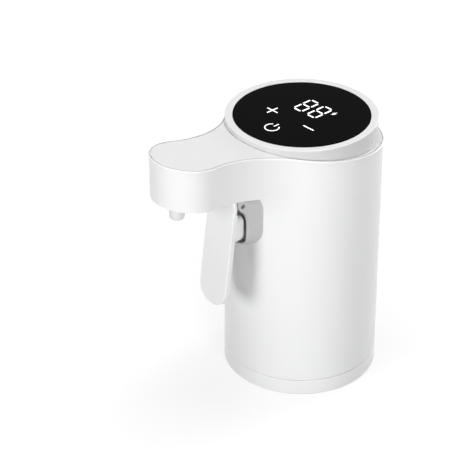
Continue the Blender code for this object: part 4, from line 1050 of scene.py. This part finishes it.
finishes = {
    "gloss_white": gloss_white,
    "black_glass": glass.material,
    "steel": steel,
    "inner_plastic": matt("inner_plastic", (0.66, 0.66, 0.65), (0.72, 0.72, 0.71), 0.5),
    "dark_plastic": matt("dark_plastic", (0.022, 0.022, 0.024), (0.035, 0.035, 0.038), 0.5),
    "motor_case": metal("motor_case", (0.52, 0.52, 0.53), 0.36, (1.0, 1.0, 0.1)),
    "cell_sleeve": matt("cell_sleeve", (0.02, 0.10, 0.30), (0.03, 0.13, 0.36), 0.35, 2.0, 0.005),
    "clear_silicone": matt("clear_silicone", (0.60, 0.60, 0.58), (0.70, 0.70, 0.68), 0.35, 1.5, 0.005),
    "stopper_silicone": matt("stopper_silicone", (0.30, 0.30, 0.31), (0.36, 0.36, 0.37), 0.55, 1.0, 0.01),
    "board_green": matt("board_green", (0.01, 0.10, 0.045), (0.016, 0.14, 0.06), 0.35, 1.2, 0.01),
    "lead_red": matt("lead_red", (0.45, 0.02, 0.015), (0.55, 0.03, 0.02), 0.45, 0.8, 0.004),
}
finish_piece(tongue, "body_unit", finishes["dark_plastic"], "dark_plastic")
for name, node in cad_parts.items():
    for place, material in enumerate(list(node.data.materials)):
        if material is not None:
            base_name = material.name.split(".")[0]
            if base_name in finishes:
                node.data.materials[place] = finishes[base_name]
            else:
                print("no finish for", name, material.name)

# %% [markdown]
# ## Studio
# The product stands alone on white paper. The paper's own colour is darker than it looks, so that it
# throws little light back at the white walls and they keep their shading. It adds a white of its own for
# every ray that looks at the background: from the camera, off gloss and through clear parts. So gloss and
# camera see the same white, the paper's edges vanish, and the soft shadow stays. The added white grows a
# little with the distance, where the lamps reach less, and stops at plain white.

# %% Floor
def shown_background(finish):
    """One for the rays that look at the background: from the camera, off gloss and through clear parts."""
    rays = ("Is Camera Ray", "Is Glossy Ray", "Is Transmission Ray")
    camera_ray, glossy_ray, clear_ray = (finish.node("LightPath", output=ray) for ray in rays)
    return camera_ray + glossy_ray + clear_ray


rest()
bpy.ops.mesh.primitive_plane_add(size=3.0, location=(0, 0, 0))
floor = bpy.context.object
floor.name = "studio_floor"
paper = Finish("studio_paper", (0.30, 0.305, 0.315), Roughness=0.9, Specular_IOR_Level=0.2,
               Emission_Strength=1.0)
paper.tint(paper.noise(30.0), (0.297, 0.302, 0.312), (0.303, 0.308, 0.318))
seen = shown_background(paper)
across, along = (paper.node("SeparateXYZ", Vector=paper.places(), output=axis) for axis in range(2))
distance = (across * across + along * along).power(0.5)
paper_glow = {"Red": 0.685, "Green": 0.68, "Blue": 0.67}
glow_growth = 0.42
paper.feed("Emission Color", paper.node("CombineColor", **{
    part: seen * (distance * glow_growth + level).at_most(1.0) for part, level in paper_glow.items()}))
floor.data.materials.append(paper.material)

# %% [markdown]
# ## Lamps
# With plain plastic it is the lamps that model the form. One stands before the arm and one to the right,
# so the body is brightest between them and darkens toward its right side. Two weak ones fill the left and
# the slope of the back, one lights the back, and one hangs above for the head. Their strengths are kept
# low enough that no white clips.

# %% Lamps
lamp_distance = 0.9
lamp_aim = Vector((0, 0, 0.07))


def lamp(name, power, azimuth, rise, size=0.4):
    """A round area light that looks at the object. Azimuth 0 is in front of the arm."""
    rest()
    turn, up = radians(azimuth), radians(rise)
    place = Vector((sin(turn) * cos(up), -cos(turn) * cos(up), sin(up))) * lamp_distance
    bpy.ops.object.light_add(type="AREA", location=place + lamp_aim)
    light = bpy.context.object
    light.name = name
    light.data.shape = "DISK"
    light.data.size = size
    light.data.energy = power
    light.rotation_euler = (-place).to_track_quat("-Z", "Y").to_euler()
    print("%-14s %.1f W at %4d degrees, %2d up" % (name, power, azimuth, rise))


lamp("lamp_front", 3.7, 0, 15)
lamp("lamp_right", 4.7, 70, 15)
lamp("lamp_left", 0.8, -75, 15)
lamp("lamp_back_high", 0.5, 180, 50)
lamp("lamp_back", 3.0, -175, 10)
lamp("lamp_top", 4.4, 0, 90, 0.5)

# %% [markdown]
# ## Room
# The lamps do the work, so the room adds only a low plain level of light. To the camera, to gloss and to
# clear parts it shows the same plain white as the paper does.

# %% Room
world = bpy.data.worlds.new("studio_room")
bpy.context.scene.world = world
world.use_nodes = True
room_level = 0.05


class Room(Finish):
    """The same node helper over the world's tree."""

    def __init__(self, tree):
        self.tree = tree

    def blend(self, factor, first, second):
        mixed = self.tree.nodes.new("ShaderNodeMix")
        mixed.data_type = "RGBA"
        for place, value in ((0, factor), (6, first), (7, second)):
            if isinstance(value, Wave):
                self.tree.links.new(value.socket, mixed.inputs[place])
            else:
                mixed.inputs[place].default_value = value
        return Wave(self.tree, mixed.outputs[2])


def grey(level):
    return (level, level, level, 1.0)


room = Room(world.node_tree)
light = room.blend(shown_background(room), grey(room_level), grey(1.0))
world.node_tree.links.new(light.socket, world.node_tree.nodes["Background"].inputs["Color"])

# %% [markdown]
# ## Camera
# The camera stands to the right of the arm and above it, with a long lens, as the photograph was taken.

# %% Camera
rest()
camera_place = (0.6463, -0.56041, 0.60891)
camera_view = Vector((-0.6524, 0.5475, -0.5240))
bpy.ops.object.camera_add(location=camera_place)
camera = bpy.context.object
camera.name = "main_camera"
camera.rotation_euler = camera_view.to_track_quat("-Z", "Y").to_euler()
camera.data.lens = 151.48
camera.data.sensor_width = 36.0
bpy.context.scene.camera = camera
bpy.context.scene.view_settings.view_transform = "Standard"
print("camera: lens %.1f mm" % camera.data.lens)
